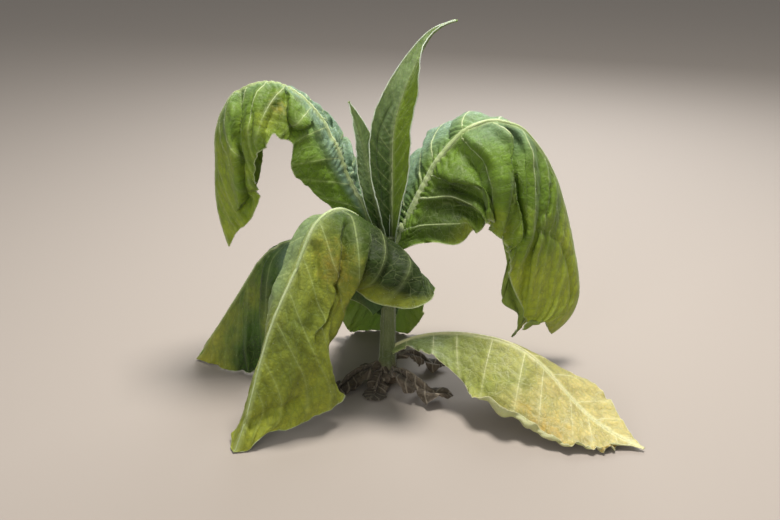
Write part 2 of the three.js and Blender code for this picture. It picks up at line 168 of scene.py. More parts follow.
def leaf(length, broadest, fullness, neck, rib, foot, from_axis, **form):
    """A leaf: its length, where it is broadest, how full its outline is, how broad its neck, how wide its
    midrib, how high on the stem and how far from its axis it starts. The form has its angles and halves."""
    sizes = dict(length=length, broadest=broadest, fullness=fullness, neck=neck, rib=rib, foot=foot)
    return dict(sizes, from_axis=from_axis, **{"twist": [0, 0], **form})


# %% The six limp leaves
LEAVES = {
    "right_arch_leaf": leaf(
        512, 1, 0.6, 0.12, 6, 162, 0.5,
        climb=[65, 65, 41, -32, -64, -75, -84, -145],
        heading=[5, 10, 12, 15, 16, 13, 8, 5],
        right=half(
            120,
            sweep=[20, -14, -24, 6, 20, 18, 20, 10],
            inner=[0, -20, -28, -32, -36, -42, -42, -30],
            outer=[-30, -76, -84, -92, -92, -96, -96, -70],
            lobes=[(0.9, 0.07, 24), (0.1, 0.05, 8), (0.2, 0.03, -6)],
        ),
        left=half(
            100,
            sweep=[30, 5, -5, 0, 28, 30, 34, 20],
            inner=[50, 45, 25, -5, -40, -60, -65, -50],
            outer=[20, -30, -50, -60, -90, -100, -105, -90],
            lobes=[(0.74, 0.06, 29), (0.85, 0.045, 42)],
        ),
    ),
    "left_arch_leaf": leaf(
        473, 1.15, 0.85, 0.2, 4.5, 150, 0.4,
        climb=[64, 64, 67, 40, -24, -80, -90, -108],
        heading=[161, 166, 164, 169, 173, 176, 178, 174],
        right=half(
            80,
            sweep=[20, 8, 0, -5, 7, 30, 35, 20],
            inner=[10, 20, 15, 0, -25, -40, -50, -40],
            outer=[-30, -20, -50, -65, -80, -80, -80, -60],
        ),
        left=half(
            84,
            sweep=[15, 20, 0, -15, 0, 25, 30, 15],
            inner=[-40, -45, -20, -10, -20, -25, -30, -30],
            outer=[-80, -90, -75, -65, -80, -85, -85, -70],
            lobes=[(0.8, 0.12, 13), (0.4, 0.07, -24), (0.49, 0.03, -14)],
        ),
    ),
    "front_leaf": leaf(
        414, 0.85, 0.6, 0.4, 5.5, 128, 0.4,
        climb=[64, 66, 20, -52, -53, -66, -68, -62],
        heading=[218, 218, 226, 232, 226, 225, 228, 218],
        right=half(
            85,
            sweep=[0, 0, -8, 22, 22, 25, 24, 20],
            inner=[0, -10, -20, 5, 8, -20, -25, 0],
            outer=[-20, -50, -100, -150, -150, -125, -75, -20],
        ),
        left=half(
            122,
            sweep=[0, -25, -13, 30, 25, 20, 20, 20],
            inner=[20, 20, -10, -30, -35, -40, -40, -40],
            outer=[0, -20, -90, -85, -90, -85, -85, -80],
            lobes=[(0.66, 0.1, 24), (0.92, 0.06, -26), (0.21, 0.07, 20), (0.44, 0.06, -6)],
            roll=(0.4, [0, 0, -20, -150, -130, -20, 0, 0]),
        ),
    ),
    "left_rear_leaf": leaf(
        342, 1.1, 0.9, 0.2, 5, 96, 0.4,
        climb=[54, 42, 22, -25, -55, -58, -58, -56],
        heading=[168, 168, 165, 160, 172, 175, 178, 180],
        right=half(
            80,
            sweep=[0, 20, 25, 45, 46, 45, 45, 40],
            inner=[-10, -10, -20, -20, -10, -10, -5, 0],
            outer=[-40, -40, -60, -60, -50, -40, -30, -20],
        ),
        left=half(
            110,
            sweep=[0, 0, -8, 15, 40, 42, 38, 20],
            inner=[-20, -10, -20, -35, -35, -40, -40, -40],
            outer=[-60, -40, -70, -95, -90, -90, -80, -80],
        ),
    ),
    "rear_leaf": leaf(
        232, 0.95, 0.8, 0.2, 4.5, 78, 0.4,
        climb=[55, 33, 10, -33, -69, -78, -79, -77],
        heading=[92, 90, 88, 90, 95, 100, 100, 100],
        right=half(
            62,
            sweep=[10, 5, 5, 20, 35, 32, 33, 20],
            inner=[20, 0, -20, -30, -20, -20, -20, -20],
            outer=[40, -25, -55, -60, -40, -30, -40, -30],
        ),
        left=half(
            80,
            sweep=[10, 0, 0, 20, 42, 42, 40, 20],
            inner=[20, 0, -20, -25, -10, 0, 10, 10],
            outer=[40, -15, -50, -60, -25, -10, 10, 20],
            lobes=[(0.5, 0.12, 5), (0.36, 0.04, 4)],
        ),
    ),
    "lowest_leaf": leaf(
        334, 1.05, 1.2, 0.14, 4.5, 40, 0.4,
        climb=[38, 20, 8, -5, -33, -34, -17, -6],
        heading=[-20, -20, -27, -28, -36, -40, -38, -38],
        right=half(
            85,
            sweep=[20, 12, 14, 5, 33, 44, 34, 10],
            inner=[-10, -10, -20, -25, -15, 0, 0, 0],
            outer=[-40, -30, -55, -62, -42, -15, -15, -10],
            lobes=[(0.62, 0.2, 9), (0.5, 0.03, 4), (0.72, 0.035, -4), (0.82, 0.03, 4)],
            roll=(0.74, [0, 0, 10, 130, 190, 130, 200, 90]),
        ),
        left=half(
            66,
            sweep=[20, 10, 10, 10, 10, 10, 10, 10],
            inner=[0, -20, -20, -20, -10, 5, 10, 10],
            outer=[-20, -70, -90, -90, -50, -10, 10, 10],
        ),
    ),
}
print("limp leaves", len(LEAVES))

# %% The young leaves at the tip
young_half = dict(sweep=[0, 15, 20, 25, 25, 25, 20, 20], inner=[50, 45, 30, 25, 25, 35, 45, 50])
small_half = dict(sweep=[0, 10, 15, 20, 20, 20, 20, 20], inner=[40, 35, 30, 25, 25, 30, 35, 40])
tall_outer = [70, 60, 45, 40, 40, 45, 55, 60]
second_outer = [60, 55, 45, 40, 40, 45, 50, 50]
bud_outer = [90, 90, 80, 80, 80, 80, 80, 80]
LEAVES["tall_young_leaf"] = leaf(
    270, 0.72, 1.2, 0.3, 3, 168, 0.5,
    climb=[90, 90, 90, 86, 73, 67, 58, 14],
    heading=[70, 70, 70, 50, 12, 0, -5, -8],
    twist=[8, 8, 8, 26, 60, 50, 35, 20],
    right=half(29, outer=tall_outer, lobes=[(0.7, 0.1, 8), (0.8, 0.05, 4), (0.66, 0.02, 1)], **young_half),
    left=half(29, outer=tall_outer, **young_half),
)
LEAVES["second_young_leaf"] = leaf(
    168, 0.8, 0.8, 0.3, 2, 164, 1,
    climb=[72, 76, 76, 76, 77, 75, 73, 71],
    heading=[145, 148, 152, 158, 162, 170, 175, 180],
    twist=[-50, -50],
    right=half(19, outer=second_outer, **small_half),
    left=half(19, outer=second_outer, **small_half),
)
LEAVES["bud_leaf"] = leaf(
    90, 0.8, 0.8, 0.4, 1.4, 168, 1.1,
    climb=[82, 81, 80, 79, 78, 78, 78, 78],
    heading=[180, 180],
    twist=[-40, -40],
    right=half(7, outer=bud_outer, **small_half),
    left=half(7, outer=bud_outer, **small_half),
)
print("with the young leaves", len(LEAVES))

# %% The dead leaves at the foot
LEAVES["left_dead_leaf"] = leaf(
    95, 0.9, 0.6, 0.5, 2, 24, 0.5,
    climb=[10, 5, -10, -20, -30, -50, -60, -70],
    heading=[205, 205, 210, 215, 220, 225, 230, 235],
    right=half(
        19,
        sweep=[10, 10],
        inner=[-10, -20, -30, -30, -30, -20, -20, -20],
        outer=[-60, -80, -80, -85, -80, -70, -60, -50],
    ),
    left=half(
        17,
        sweep=[10, 10],
        inner=[-20, -20, -30, -40, -30, -30, -20, -20],
        outer=[-60, -70, -75, -80, -90, -80, -60, -50],
    ),
)
LEAVES["front_dead_leaf"] = leaf(
    62, 0.9, 0.6, 0.5, 2, 20, 0.5,
    climb=[10, -5, -20, -30, -50, -50, -30, -20],
    heading=[250, 250, 250, 250, 250, 245, 240, 240],
    right=half(
        17,
        sweep=[10, 10],
        inner=[-10, -20, -20, -20, -20, -20, -20, -20],
        outer=[-60, -80, -90, -90, -80, -70, -60, -50],
    ),
    left=half(18, sweep=[10, 10], inner=[-20, -20], outer=[-60, -80, -90, -90, -80, -70, -60, -50]),
)
LEAVES["right_dead_leaf"] = leaf(
    100, 0.9, 0.7, 0.4, 2, 18, 0.5,
    climb=[30, 24, 10, -10, -22, -20, -10, -5],
    heading=[-66, -60, -50, -40, -36, -30, -25, -20],
    right=half(
        22,
        sweep=[10, 15, 20, 20, 20, 20, 10, 10],
        inner=[-10, -10, -20, -20, -20, -15, -10, -10],
        outer=[-60, -70, -70, -60, -60, -50, -40, -30],
    ),
    left=half(
        20,
        sweep=[10, 10],
        inner=[-20, -20, -30, -30, -30, -30, -20, -20],
        outer=[-60, -90, -100, -100, -90, -80, -60, -50],
    ),
)
LEAVES["rear_dead_leaf"] = leaf(
    78, 0.9, 0.7, 0.4, 2, 28, 0.5,
    climb=[20, 12, -5, -25, -38, -36, -20, -8],
    heading=[30, 28, 25, 20, 12, 10, 5, 0],
    right=half(
        16,
        sweep=[10, 15, 20, 20, 20, 20, 10, 10],
        inner=[-10, -20, -20, -20, -20, -20, -15, -10],
        outer=[-60, -80, -80, -70, -70, -60, -50, -40],
    ),
    left=half(
        16,
        sweep=[10, 10],
        inner=[-20, -20, -30, -30, -30, -30, -20, -20],
        outer=[-60, -90, -90, -90, -80, -70, -60, -50],
    ),
)
print("leaves in all", len(LEAVES))

# %% [markdown]
# ## From stations to a surface
# A smooth curve through the stations gives an angle anywhere along the leaf. Adding up short steps along the
# midrib gives its path, and adding up short steps along each side vein gives the blade. Working by steps, and
# not by a closed formula, means that a fold or a rolled margin is only one more angle added on the way.


# %% Curves through stations
def along(stations, share):
    """Value of evenly spaced stations at a share of the way along, by a smooth curve through them."""
    stations = np.asarray(stations, float)
    last = len(stations) - 1
    place = np.clip(share, 0, 1) * last
    i = np.minimum(place.astype(int), last - 1)
    t = place - i
    before, here = stations[np.maximum(i - 1, 0)], stations[i]
    there, after = stations[i + 1], stations[np.minimum(i + 2, last)]
    slope_in, slope_out = (there - before) / 2, (after - here) / 2
    rise = there - here
    bend = 3 * rise - 2 * slope_in - slope_out
    return here + t * (slope_in + t * (bend + t * (slope_in + slope_out - 2 * rise)))


def smooth_step(low, high, x):
    """0 at the low end and 1 at the high one, with a soft start and end."""
    t = np.clip((x - low) / (high - low), 0, 1)
    return t * t * (3 - 2 * t)


def stem_centre(height):
    """The stem's middle at a height. It leans a little."""
    share = np.asarray(height, float) / STEM_HEIGHT
    return np.stack([STEM_LEAN * share * share, 0 * share, share * STEM_HEIGHT], -1)


def stem_radius(height):
    """The stem's radius at a height, with its root flare."""
    share = np.asarray(height, float) / STEM_HEIGHT
    flare = ROOT_FLARE * np.exp(-((np.asarray(height, float) / FLARE_HEIGHT) ** 2))
    return STEM_RADIUS + (STEM_TIP_RADIUS - STEM_RADIUS) * share + flare


def turned(vectors, axes, angle):
    """Vectors turned about unit axes, each row by its own angle."""
    c, s = np.cos(angle)[:, None], np.sin(angle)[:, None]
    along_axis = np.sum(axes * vectors, 1, keepdims=True)
    return vectors * c + np.cross(axes, vectors) * s + axes * along_axis * (1 - c)


foot, tip = (round(float(stem_radius(height)), 1) for height in (0, STEM_HEIGHT))
print("stem radius", foot, "mm at the ground and", tip, "mm at the tip")


# %% The midrib
MIDRIB_STEPS = 960


def midrib(form, share):
    """The midrib's place at each share, and its directions ahead, to the right and up off the upper face."""
    fine = (np.arange(MIDRIB_STEPS) + 0.5) / MIDRIB_STEPS

    def ahead_at(s):
        """The midrib's direction at a share of its length, and where it heads."""
        climb = np.radians(along(form["climb"], s))
        heading = np.radians(along(form["heading"], s))
        level = np.cos(climb)
        return np.stack([level * np.cos(heading), level * np.sin(heading), np.sin(climb)], -1), heading

    steps = ahead_at(fine)[0] * form["length"] / MIDRIB_STEPS
    path = np.vstack([np.zeros(3), np.cumsum(steps, 0)])
    start = np.radians(form["heading"][0])
    reach = stem_radius(form["foot"]) * form["from_axis"]
    path += stem_centre(form["foot"]) + reach * np.array([math.cos(start), math.sin(start), 0])
    ends = np.arange(MIDRIB_STEPS + 1) / MIDRIB_STEPS
    place = np.stack([np.interp(share, ends, path[:, k]) for k in range(3)], -1)
    ahead, heading = ahead_at(share)
    right = np.stack([np.sin(heading), -np.cos(heading), 0 * heading], -1)
    right = turned(right, ahead, np.radians(along(form["twist"], share)))
    return place, ahead, right, np.cross(right, ahead)


for name, form in LEAVES.items():
    print(name, "ends at", midrib(form, np.ones(1))[0][0].round().tolist(), "mm")


# %% How far the side veins run
def vein_length(form, side, share):
    """Length of the side veins of one half, in millimetres, with its lobes."""
    blade = np.sin(np.pi * np.clip(share, 0, 1) ** form["broadest"]) ** form["fullness"]
    reach = side["reach"] * np.hypot(blade, form["neck"] * (1 - share) ** NECK_FADE)
    for at, spread_along, out in side.get("lobes", ()):
        reach = reach + out * np.exp(-(((share - at) / spread_along) ** 2))
    return np.maximum(reach, TIP_HALF_WIDTH)


def rib_width(form, share):
    """Width of the midrib in millimetres, tapering to the tip."""
    return form["rib"] * (1 - RIB_TAPER * share**RIB_TAPER_POWER)


def rib_flare(form, share):
    """How much broader the midrib is towards the stem, in millimetres."""
    return form["rib"] * form["flare"] * np.exp(-((share / RIB_FLARE_REACH) ** 2))


# %% [markdown]
# ## Relief
# A wilted tobacco blade hangs from its side veins like cloth from a line. It stands in a ridge at each vein
# and sags between them. It is blistered between the cross veins and puckered beside the midrib, and its
# margin is longer than the blade beside it, so it ruffles. All that is a height in millimetres, which moves
# the surface along its own normal. Where the limp blade has folded over itself a height isn't enough, and
# one side slides over the other. Sculpting by hand could make the same, but a line with a height and a
# slide can be changed by itself. The noise is a small one written here, with a fixed seed, so each run
# makes the same leaf.


# %% A seeded noise
NOISE_SIZE = 64


def noise(x, y, seed):
    """Smooth values between -1 and 1, with bumps about one unit across."""
    table = np.random.default_rng(seed).uniform(-1, 1, (NOISE_SIZE, NOISE_SIZE))
    xi, yi = np.floor(x).astype(int), np.floor(y).astype(int)
    tx, ty = x - xi, y - yi
    tx, ty = tx * tx * (3 - 2 * tx), ty * ty * (3 - 2 * ty)
    x0, x1 = xi % NOISE_SIZE, (xi + 1) % NOISE_SIZE
    y0, y1 = yi % NOISE_SIZE, (yi + 1) % NOISE_SIZE
    near = table[x0, y0] * (1 - tx) + table[x1, y0] * tx
    far = table[x0, y1] * (1 - tx) + table[x1, y1] * tx
    return near * (1 - ty) + far * ty


def crumple(x, y, seed):
    """Three sizes of bump, each half as high and half as wide as the last."""
    return sum(noise(x * 2**k, y * 2**k, seed + k) / 2**k for k in range(3))


# %% Where the veins run
VEIN_POWER = 1.25
BEYOND = 0.2
MESH_POINT = (0.12, 0.88)


def vein_number(form, share, across):
    """Counts the side veins along each half: a vein lies where the count is whole."""
    out = np.abs(across)
    number = 0
    for name, chosen in (("right", across >= 0), ("left", across < 0)):
        side = form[name]
        ahead = share - along(side["forward"], share) * out**VEIN_POWER
        feet = np.array([-BEYOND, *side["vein_at"], 1 + BEYOND])
        number = number + np.where(chosen, np.interp(ahead, feet, np.arange(len(feet))), 0)
    return number


def cells(x, y, seed):
    """An uneven net with meshes about one unit wide: 0 on its lines, growing to the middle of each mesh."""
    table = np.random.default_rng(seed).uniform(*MESH_POINT, (NOISE_SIZE, NOISE_SIZE, 2))
    xi, yi = np.floor(x).astype(int), np.floor(y).astype(int)
    first = np.full(np.broadcast(x, y).shape, 9.0)
    second = first.copy()
    for dx in (-1, 0, 1):
        for dy in (-1, 0, 1):
            spot = table[(xi + dx) % NOISE_SIZE, (yi + dy) % NOISE_SIZE]
            gap = np.hypot(xi + dx + spot[..., 0] - x, yi + dy + spot[..., 1] - y)
            second = np.where(gap < first, first, np.minimum(second, gap))
            first = np.minimum(first, gap)
    return second - first


# %% Folds along lines on the blade
PATH_STEPS = 4
FOLD_ENDS = (0.12, 0.85)


def near_line(form, x, y, path):
    """Distance to a line on the blade in millimetres, the side it lies on, the run along the line, and the
    direction across it. The line's points are a share of the leaf's length and a place across."""
    path = np.array(path, float)
    right, left = (vein_length(form, form[name], path[:, 0]) for name in ("right", "left"))
    widths = np.where(path[:, 1] >= 0, right, left)
    spots = np.stack([path[:, 0] * form["length"], path[:, 1] * widths], -1)
    places = np.linspace(0, 1, PATH_STEPS * (len(spots) - 1) + 1)
    spots = np.stack([along(spots[:, 0], places), along(spots[:, 1], places)], -1)
    steps = np.diff(spots, axis=0)
    crossways = np.stack([-steps[:, 1], steps[:, 0]], -1) / np.linalg.norm(steps, axis=1, keepdims=True)
    crossways = (np.vstack([crossways[:1], crossways]) + np.vstack([crossways, crossways[-1:]])) / 2
    gap, side, run = np.full(x.shape, 1e9), np.zeros(x.shape), np.zeros(x.shape)
    way = np.zeros((*x.shape, 2))
    for k, (a, b) in enumerate(zip(spots, spots[1:])):
        step = b - a
        t = np.clip(((x - a[0]) * step[0] + (y - a[1]) * step[1]) / (step @ step), 0, 1)
        far = np.hypot(x - a[0] - t * step[0], y - a[1] - t * step[1])
        closer = far < gap
        turn = step[0] * (y - a[1]) - step[1] * (x - a[0])
        side = np.where(closer, np.sign(turn), side)
        run = np.where(closer, (k + t) / (len(spots) - 1), run)
        here = crossways[k] * (1 - t[..., None]) + crossways[k + 1] * t[..., None]
        way = np.where(closer[..., None], here, way)
        gap = np.minimum(far, gap)
    return gap, side, run, way


def between(ends, run):
    """1 along a line, and fading to 0 before the first and after the last of two places on it."""
    return smooth_step(0, ends[0], run) * smooth_step(1, ends[1], run)


def fold_lines(form, x, y):
    """Height of the folds. Each is a line, raised or sunk, with its own slope on either side."""
    total = np.zeros(x.shape)
    for path, depth, right_slope, left_slope in form.get("folds", ()):
        gap, side, run, _ = near_line(form, x, y, path)
        slope = np.where(side < 0, right_slope, left_slope)
        total = total + depth * between(FOLD_ENDS, run) * np.exp(-((gap / slope) ** 2))
    return total


# %% Laps, where the blade is folded over itself
LAP_ENDS = (0.2, 0.8)
LAP_EDGE_MM = 3.2
LAP_SINK = 0.8
LAP_SINK_REACH = 0.9
LAP_EASE_MM = 6
LAP_EASE_PASSES = 6


def unit(vectors):
    """A grid of vectors, each made one long."""
    return vectors / np.maximum(np.linalg.norm(vectors, axis=2, keepdims=True), 1e-9)


def normals(points):
    """Directions off the upper face of a grid of points."""
    return unit(np.cross(np.gradient(points, axis=1), np.gradient(points, axis=0)))


def eased(points, weight):
    """Points drawn towards the mean of their neighbours, as much as the weight says."""
    for _ in range(LAP_EASE_PASSES):
        wide = np.pad(points, ((1, 1), (1, 1), (0, 0)), mode="edge")
        mean = (wide[2:, 1:-1] + wide[:-2, 1:-1] + wide[1:-1, 2:] + wide[1:-1, :-2]) / 4
        points = points + weight[..., None] * (mean - points)
    return points


def lapped(form, points, x, y):
    """The blade folded over itself along lines: one side rises and slides over the other, which sinks. The
    surface is eased along the laps at the end, so that no fold of the grid shows teeth."""
    near_lap = np.zeros(x.shape)
    for path, lap, rise, fade, lapping in form.get("laps", ()):
        gap, side, run, way = near_line(form, x, y, path)
        signed = gap * side * lapping
        ends = between(LAP_ENDS, run)
        over = smooth_step(-LAP_EDGE_MM, LAP_EDGE_MM, signed)
        near_over = np.exp(-((np.maximum(signed, 0) / fade) ** 2))
        near_under = np.exp(-((np.maximum(-signed, 0) / (fade * LAP_SINK_REACH)) ** 2))
        up = ends * rise * (over * near_over - LAP_SINK * (1 - over) * near_under)
        slide = ends * lap * over * near_over * lapping
        ahead, right = unit(np.gradient(points, axis=0)), unit(np.gradient(points, axis=1))
        across_line = way[..., :1] * ahead + way[..., 1:] * right
        points = points + normals(points) * up[..., None] - across_line * slide[..., None]
        near_lap = np.maximum(near_lap, ends * np.exp(-((gap / LAP_EASE_MM) ** 2)))
    return eased(points, near_lap)


# %% Ridges, blisters and wrinkles
RIDGE_LEAN = 0.72
RIDGE_SHARPNESS = 0.75
RIDGE_REST = 0.6
RIDGE_SPREAD = 0.6
RIDGE_MEAN = 0.75
RIDGE_STRAY = 0.35
WRINKLE_MESH_MM = (26, 21)
WRINKLE_BEND = 0.4
WRINKLE_BEND_MM = (12, 15)
WRINKLE_LINE = 0.16


def on_each_half(form, label, across, share=None):
    """A look that a half may have for itself: a number or, with shares, stations along the leaf."""
    right, left = (form[name].get(label, form.get(label)) for name in ("right", "left"))
    if share is not None:
        right, left = along(right, share), along(left, share)
    return np.where(across >= 0, right, left)


def ridges(form, number, share, across):
    """A ridge at each side vein, and between them a sag, deepest below the next one."""
    place = number - np.floor(number)
    falling = 0.5 + 0.5 * np.cos(np.pi * np.clip(place / RIDGE_LEAN, 0, 1))
    rising = 0.5 - 0.5 * np.cos(np.pi * np.clip((place - RIDGE_LEAN) / (1 - RIDGE_LEAN), 0, 1))
    shape = np.maximum(np.where(place < RIDGE_LEAN, falling, rising), 0) ** RIDGE_SHARPNESS - RIDGE_REST
    uneven = RIDGE_MEAN + RIDGE_STRAY * np.sin(2.3 * np.round(number) + form["seed"])
    return on_each_half(form, "ridge", across, share) * uneven * shape * np.abs(across) ** RIDGE_SPREAD


def blisters(form, number, across_mm):
    """The blade stands up a little in each mesh between the cross veins."""
    meshes = cells(2 * number, np.abs(across_mm) / form["cell_mm"], form["seed"] + 5)
    return form["blister"] * smooth_step(0, 0.5, meshes)


def wrinkles(form, along_mm, across_mm):
    """Sunk lines in a wide uneven net."""
    seed, (across_step, along_step) = form["seed"], WRINKLE_BEND_MM
    bend = WRINKLE_BEND * noise(across_mm / across_step, along_mm / along_step, seed + 2)
    net = cells(along_mm / WRINKLE_MESH_MM[0] + bend, across_mm / WRINKLE_MESH_MM[1], seed + 7)
    return -form["wrinkle"] * smooth_step(WRINKLE_LINE, 0, net)


# %% Ruffles, puckers and the whole relief
RUFFLE_WAVE_MM = 31
RUFFLE_DRIFT = 0.8
RUFFLE_DRIFT_MM = 45
RUFFLE_SWELL_MM = 23
RUFFLE_POWER = 5
FRILL_MM = 6
FRILL_POWER = 9
GATHER_STEP_MM = 8.5
GATHER_SWAY = 1.6
GATHER_SWAY_MM = (21, 15)
GATHER_LEAN = 0.02
GATHER_SWELL_MM = (13, 11)
CRUMPLE_MM = (34, 28)
CALM_RIB = 0.06
CALM_ENDS = (0.06, 0.95)


def ruffles(form, along_mm, across):
    """Waves along the margin, and a fine frill on them."""
    seed, out, half_mark = form["seed"], np.abs(across), np.sign(across)
    ruffle = on_each_half(form, "ruffle", across)
    wave = along_mm / RUFFLE_WAVE_MM + RUFFLE_DRIFT * noise(along_mm / RUFFLE_DRIFT_MM, 0 * out, seed + 9)
    uneven = 0.6 + 0.7 * noise(along_mm / RUFFLE_SWELL_MM, 5 * half_mark, seed + 8)
    waves = ruffle * uneven * out**RUFFLE_POWER * np.sin(2 * np.pi * wave)
    frill = form["frill"] * ruffle * out**FRILL_POWER * noise(along_mm / FRILL_MM, 3 * half_mark, seed + 10)
    return waves, frill


def gathers(form, share, across, along_mm, across_mm):
    """Small puckers beside the midrib."""
    seed, out_mm = form["seed"], np.abs(across_mm)
    depth = on_each_half(form, "gather", across, share) * np.exp(-((out_mm / form["gather_reach"]) ** 2))
    sway = GATHER_SWAY * noise(along_mm / GATHER_SWAY_MM[0], across_mm / GATHER_SWAY_MM[1], seed + 3)
    swell = noise(along_mm / GATHER_SWELL_MM[0], across_mm / GATHER_SWELL_MM[1], seed + 4)
    pinch = np.sin(2 * np.pi * (along_mm / GATHER_STEP_MM + sway + GATHER_LEAN * out_mm))
    return depth * pinch * (0.7 + 0.6 * swell)


def relief(form, share, across, widths):
    """Height of the blade off its smooth shape, in millimetres, at a grid of shares and places across."""
    along_mm, across_mm = share * form["length"], across * widths
    number = vein_number(form, share, across)
    heights = [
        ridges(form, number, share, across),
        blisters(form, number, across_mm),
        form["crumple"] * crumple(along_mm / CRUMPLE_MM[0], across_mm / CRUMPLE_MM[1], form["seed"]),
        wrinkles(form, along_mm, across_mm),
        *ruffles(form, along_mm, across),
        gathers(form, share, across, along_mm, across_mm),
    ]
    calm = form["rib_kink"] + (1 - form["rib_kink"]) * smooth_step(0, CALM_RIB, np.abs(across))
    folds = fold_lines(form, along_mm + 0 * across_mm, across_mm)
    return between(CALM_ENDS, share) * (sum(heights) * calm + folds)


# %% The blade's middle surface
def blade_points(form, share, across):
    """The smooth blade over shares (rows) and places across (columns, 0 in the middle)."""
    place, ahead, right, up = midrib(form, share)
    rows = share[:, None]
    grid = np.zeros((len(share), len(across), 3))
    widths = np.zeros((len(share), len(across)))
    for name, sign in (("right", 1), ("left", -1)):
        side = form[name]
        columns = np.flatnonzero(across * sign >= 0)
        columns = columns[np.argsort(np.abs(across[columns]))]
        out = np.abs(across[columns])[None, :]
        inner = np.radians(along(side["inner"], rows))
        bend = np.radians(along(side["outer"], rows)) - inner
        angle = inner + bend * out
        if "roll" in side:
            start, degrees = side["roll"]
            angle = angle + np.radians(along(degrees, rows)) * smooth_step(start, 1, out)
        middle = (angle[:, 1:] + angle[:, :-1]) / 2
        steps = np.diff(out, axis=1)
        level = np.pad(np.cumsum(np.cos(middle) * steps, 1), ((0, 0), (1, 0)))
        rise = np.pad(np.cumsum(np.sin(middle) * steps, 1), ((0, 0), (1, 0)))
        sweep = np.radians(along(side["sweep"], rows))
        width = vein_length(form, side, rows)
        widths[:, columns] = width
        level, rise = level * width * np.cos(sweep), rise * width * np.cos(sweep)
        forward = width * np.sin(sweep) * out
        grid[:, columns] = (
            place[:, None]
            + sign * level[..., None] * right[:, None]
            + rise[..., None] * up[:, None]
            + forward[..., None] * ahead[:, None]
        )
    return grid, widths


# %% [markdown]
# ## Making the meshes
# Each blade is an upper and a lower face of a fine grid, closed round the edge, so that it has real
# thickness. A Solidify modifier could give it that too, but here the blade also swells under its midrib.
# The columns crowd towards the midrib, where the relief is finest. What the colours need to know about a
# place, such as which vein is near, goes into the mesh as attributes that the material reads.


# %% Meshes from arrays
def mesh_object(name, points, faces, uv=None, attributes=None):
    """A smooth mesh from points in millimetres and faces of four corners."""
    mesh = bpy.data.meshes.new(name)
    mesh.vertices.add(len(points))
    mesh.vertices.foreach_set("co", (points * MM).astype(np.float32).ravel())
    mesh.loops.add(faces.size)
    mesh.loops.foreach_set("vertex_index", faces.astype(np.int32).ravel())
    mesh.polygons.add(len(faces))
    mesh.polygons.foreach_set("loop_start", np.arange(0, faces.size, 4, dtype=np.int32))
    mesh.polygons.foreach_set("use_smooth", np.ones(len(faces), bool))
    if uv is not None:
        layer = mesh.uv_layers.new(name="UVMap")
        layer.data.foreach_set("uv", uv.astype(np.float32).ravel())
    for label, values in (attributes or {}).items():
        layer = mesh.attributes.new(label, "FLOAT_VECTOR", "POINT")
        layer.data.foreach_set("vector", values.astype(np.float32).ravel())
    mesh.update(calc_edges=True)
    mesh.validate()
    return in_scene(name, mesh)


def grid_faces(rows, columns, start=0):
    """Faces between the points of a grid, which are counted row by row from the start."""
    r, c = np.meshgrid(np.arange(rows - 1), np.arange(columns - 1), indexing="ij")
    a = (start + r * columns + c).ravel()
    return np.stack([a, a + 1, a + 1 + columns, a + columns], -1)


def edge_faces(rows, columns):
    """Faces that close the gap round the edge between an upper grid and a lower one after it."""
    first_row = np.arange(columns)
    last_column = np.arange(1, rows) * columns + columns - 1
    last_row = (rows - 1) * columns + np.arange(columns - 2, -1, -1)
    first_column = np.arange(rows - 2, 0, -1) * columns
    loop = np.concatenate([first_row, last_column, last_row, first_column])
    after = np.roll(loop, -1)
    below = rows * columns
    return np.stack([after, loop, loop + below, after + below], -1)


# %% The surface of one leaf
FLOOR_GAP = 1.7
FLOOR_SOFTNESS = 1.5
COLUMN_CROWDING = 1.15


def above_floor(points):
    """Lifts what would sink into the floor, softly, so a tip that touches it lies along it."""
    height = points[..., 2] - FLOOR_GAP
    lifted = 0.5 * (height + np.sqrt(height**2 + FLOOR_SOFTNESS**2))
    points[..., 2] = FLOOR_GAP + lifted
    return points


def columns_across(count):
    """Places across the blade from the left margin to the right one, closer together near the midrib."""
    out = (np.arange(1, count + 1) / count) ** COLUMN_CROWDING
    return np.concatenate([-out[::-1], [0], out])


def blade_surface(form, share, across):
    """The blade's crumpled middle surface, with its normals and its widths."""
    points, widths = blade_points(form, share, across)
    x, y = np.broadcast_arrays(share[:, None] * form["length"], across[None, :] * widths)
    points = lapped(form, points, x, y)
    height = relief(form, share[:, None], across[None, :], widths)
    points = above_floor(points + normals(points) * height[..., None])
    return points, normals(points), widths


# %% A whole blade
EDGE_THINNING = 0.5
SHOULDER = 0.45
SHOULDER_REACH = 1.5
UV_MIDDLE = 0.24
UV_HALF = 0.23
UV_LOWER_FACE = 0.51
VEIN_FADE = (0.4, 0.75)


def spread(*fields):
    """Three fields over the grid as one list of vectors."""
    return np.stack(np.broadcast_arrays(*fields), -1).reshape(-1, 3)


def blade_uv(share, across, corners, edge_count):
    """Each side of the blade has its own half of the UV square, and the edge goes with the upper side."""
    spots = np.broadcast_arrays(share[:, None], UV_MIDDLE + UV_HALF * across[None, :])
    upper = np.stack(spots, -1).reshape(-1, 2)
    uv = np.vstack([upper, upper + (0, UV_LOWER_FACE)])[corners]
    uv[-edge_count:] = upper[corners[-edge_count:] % len(upper)]
    return uv


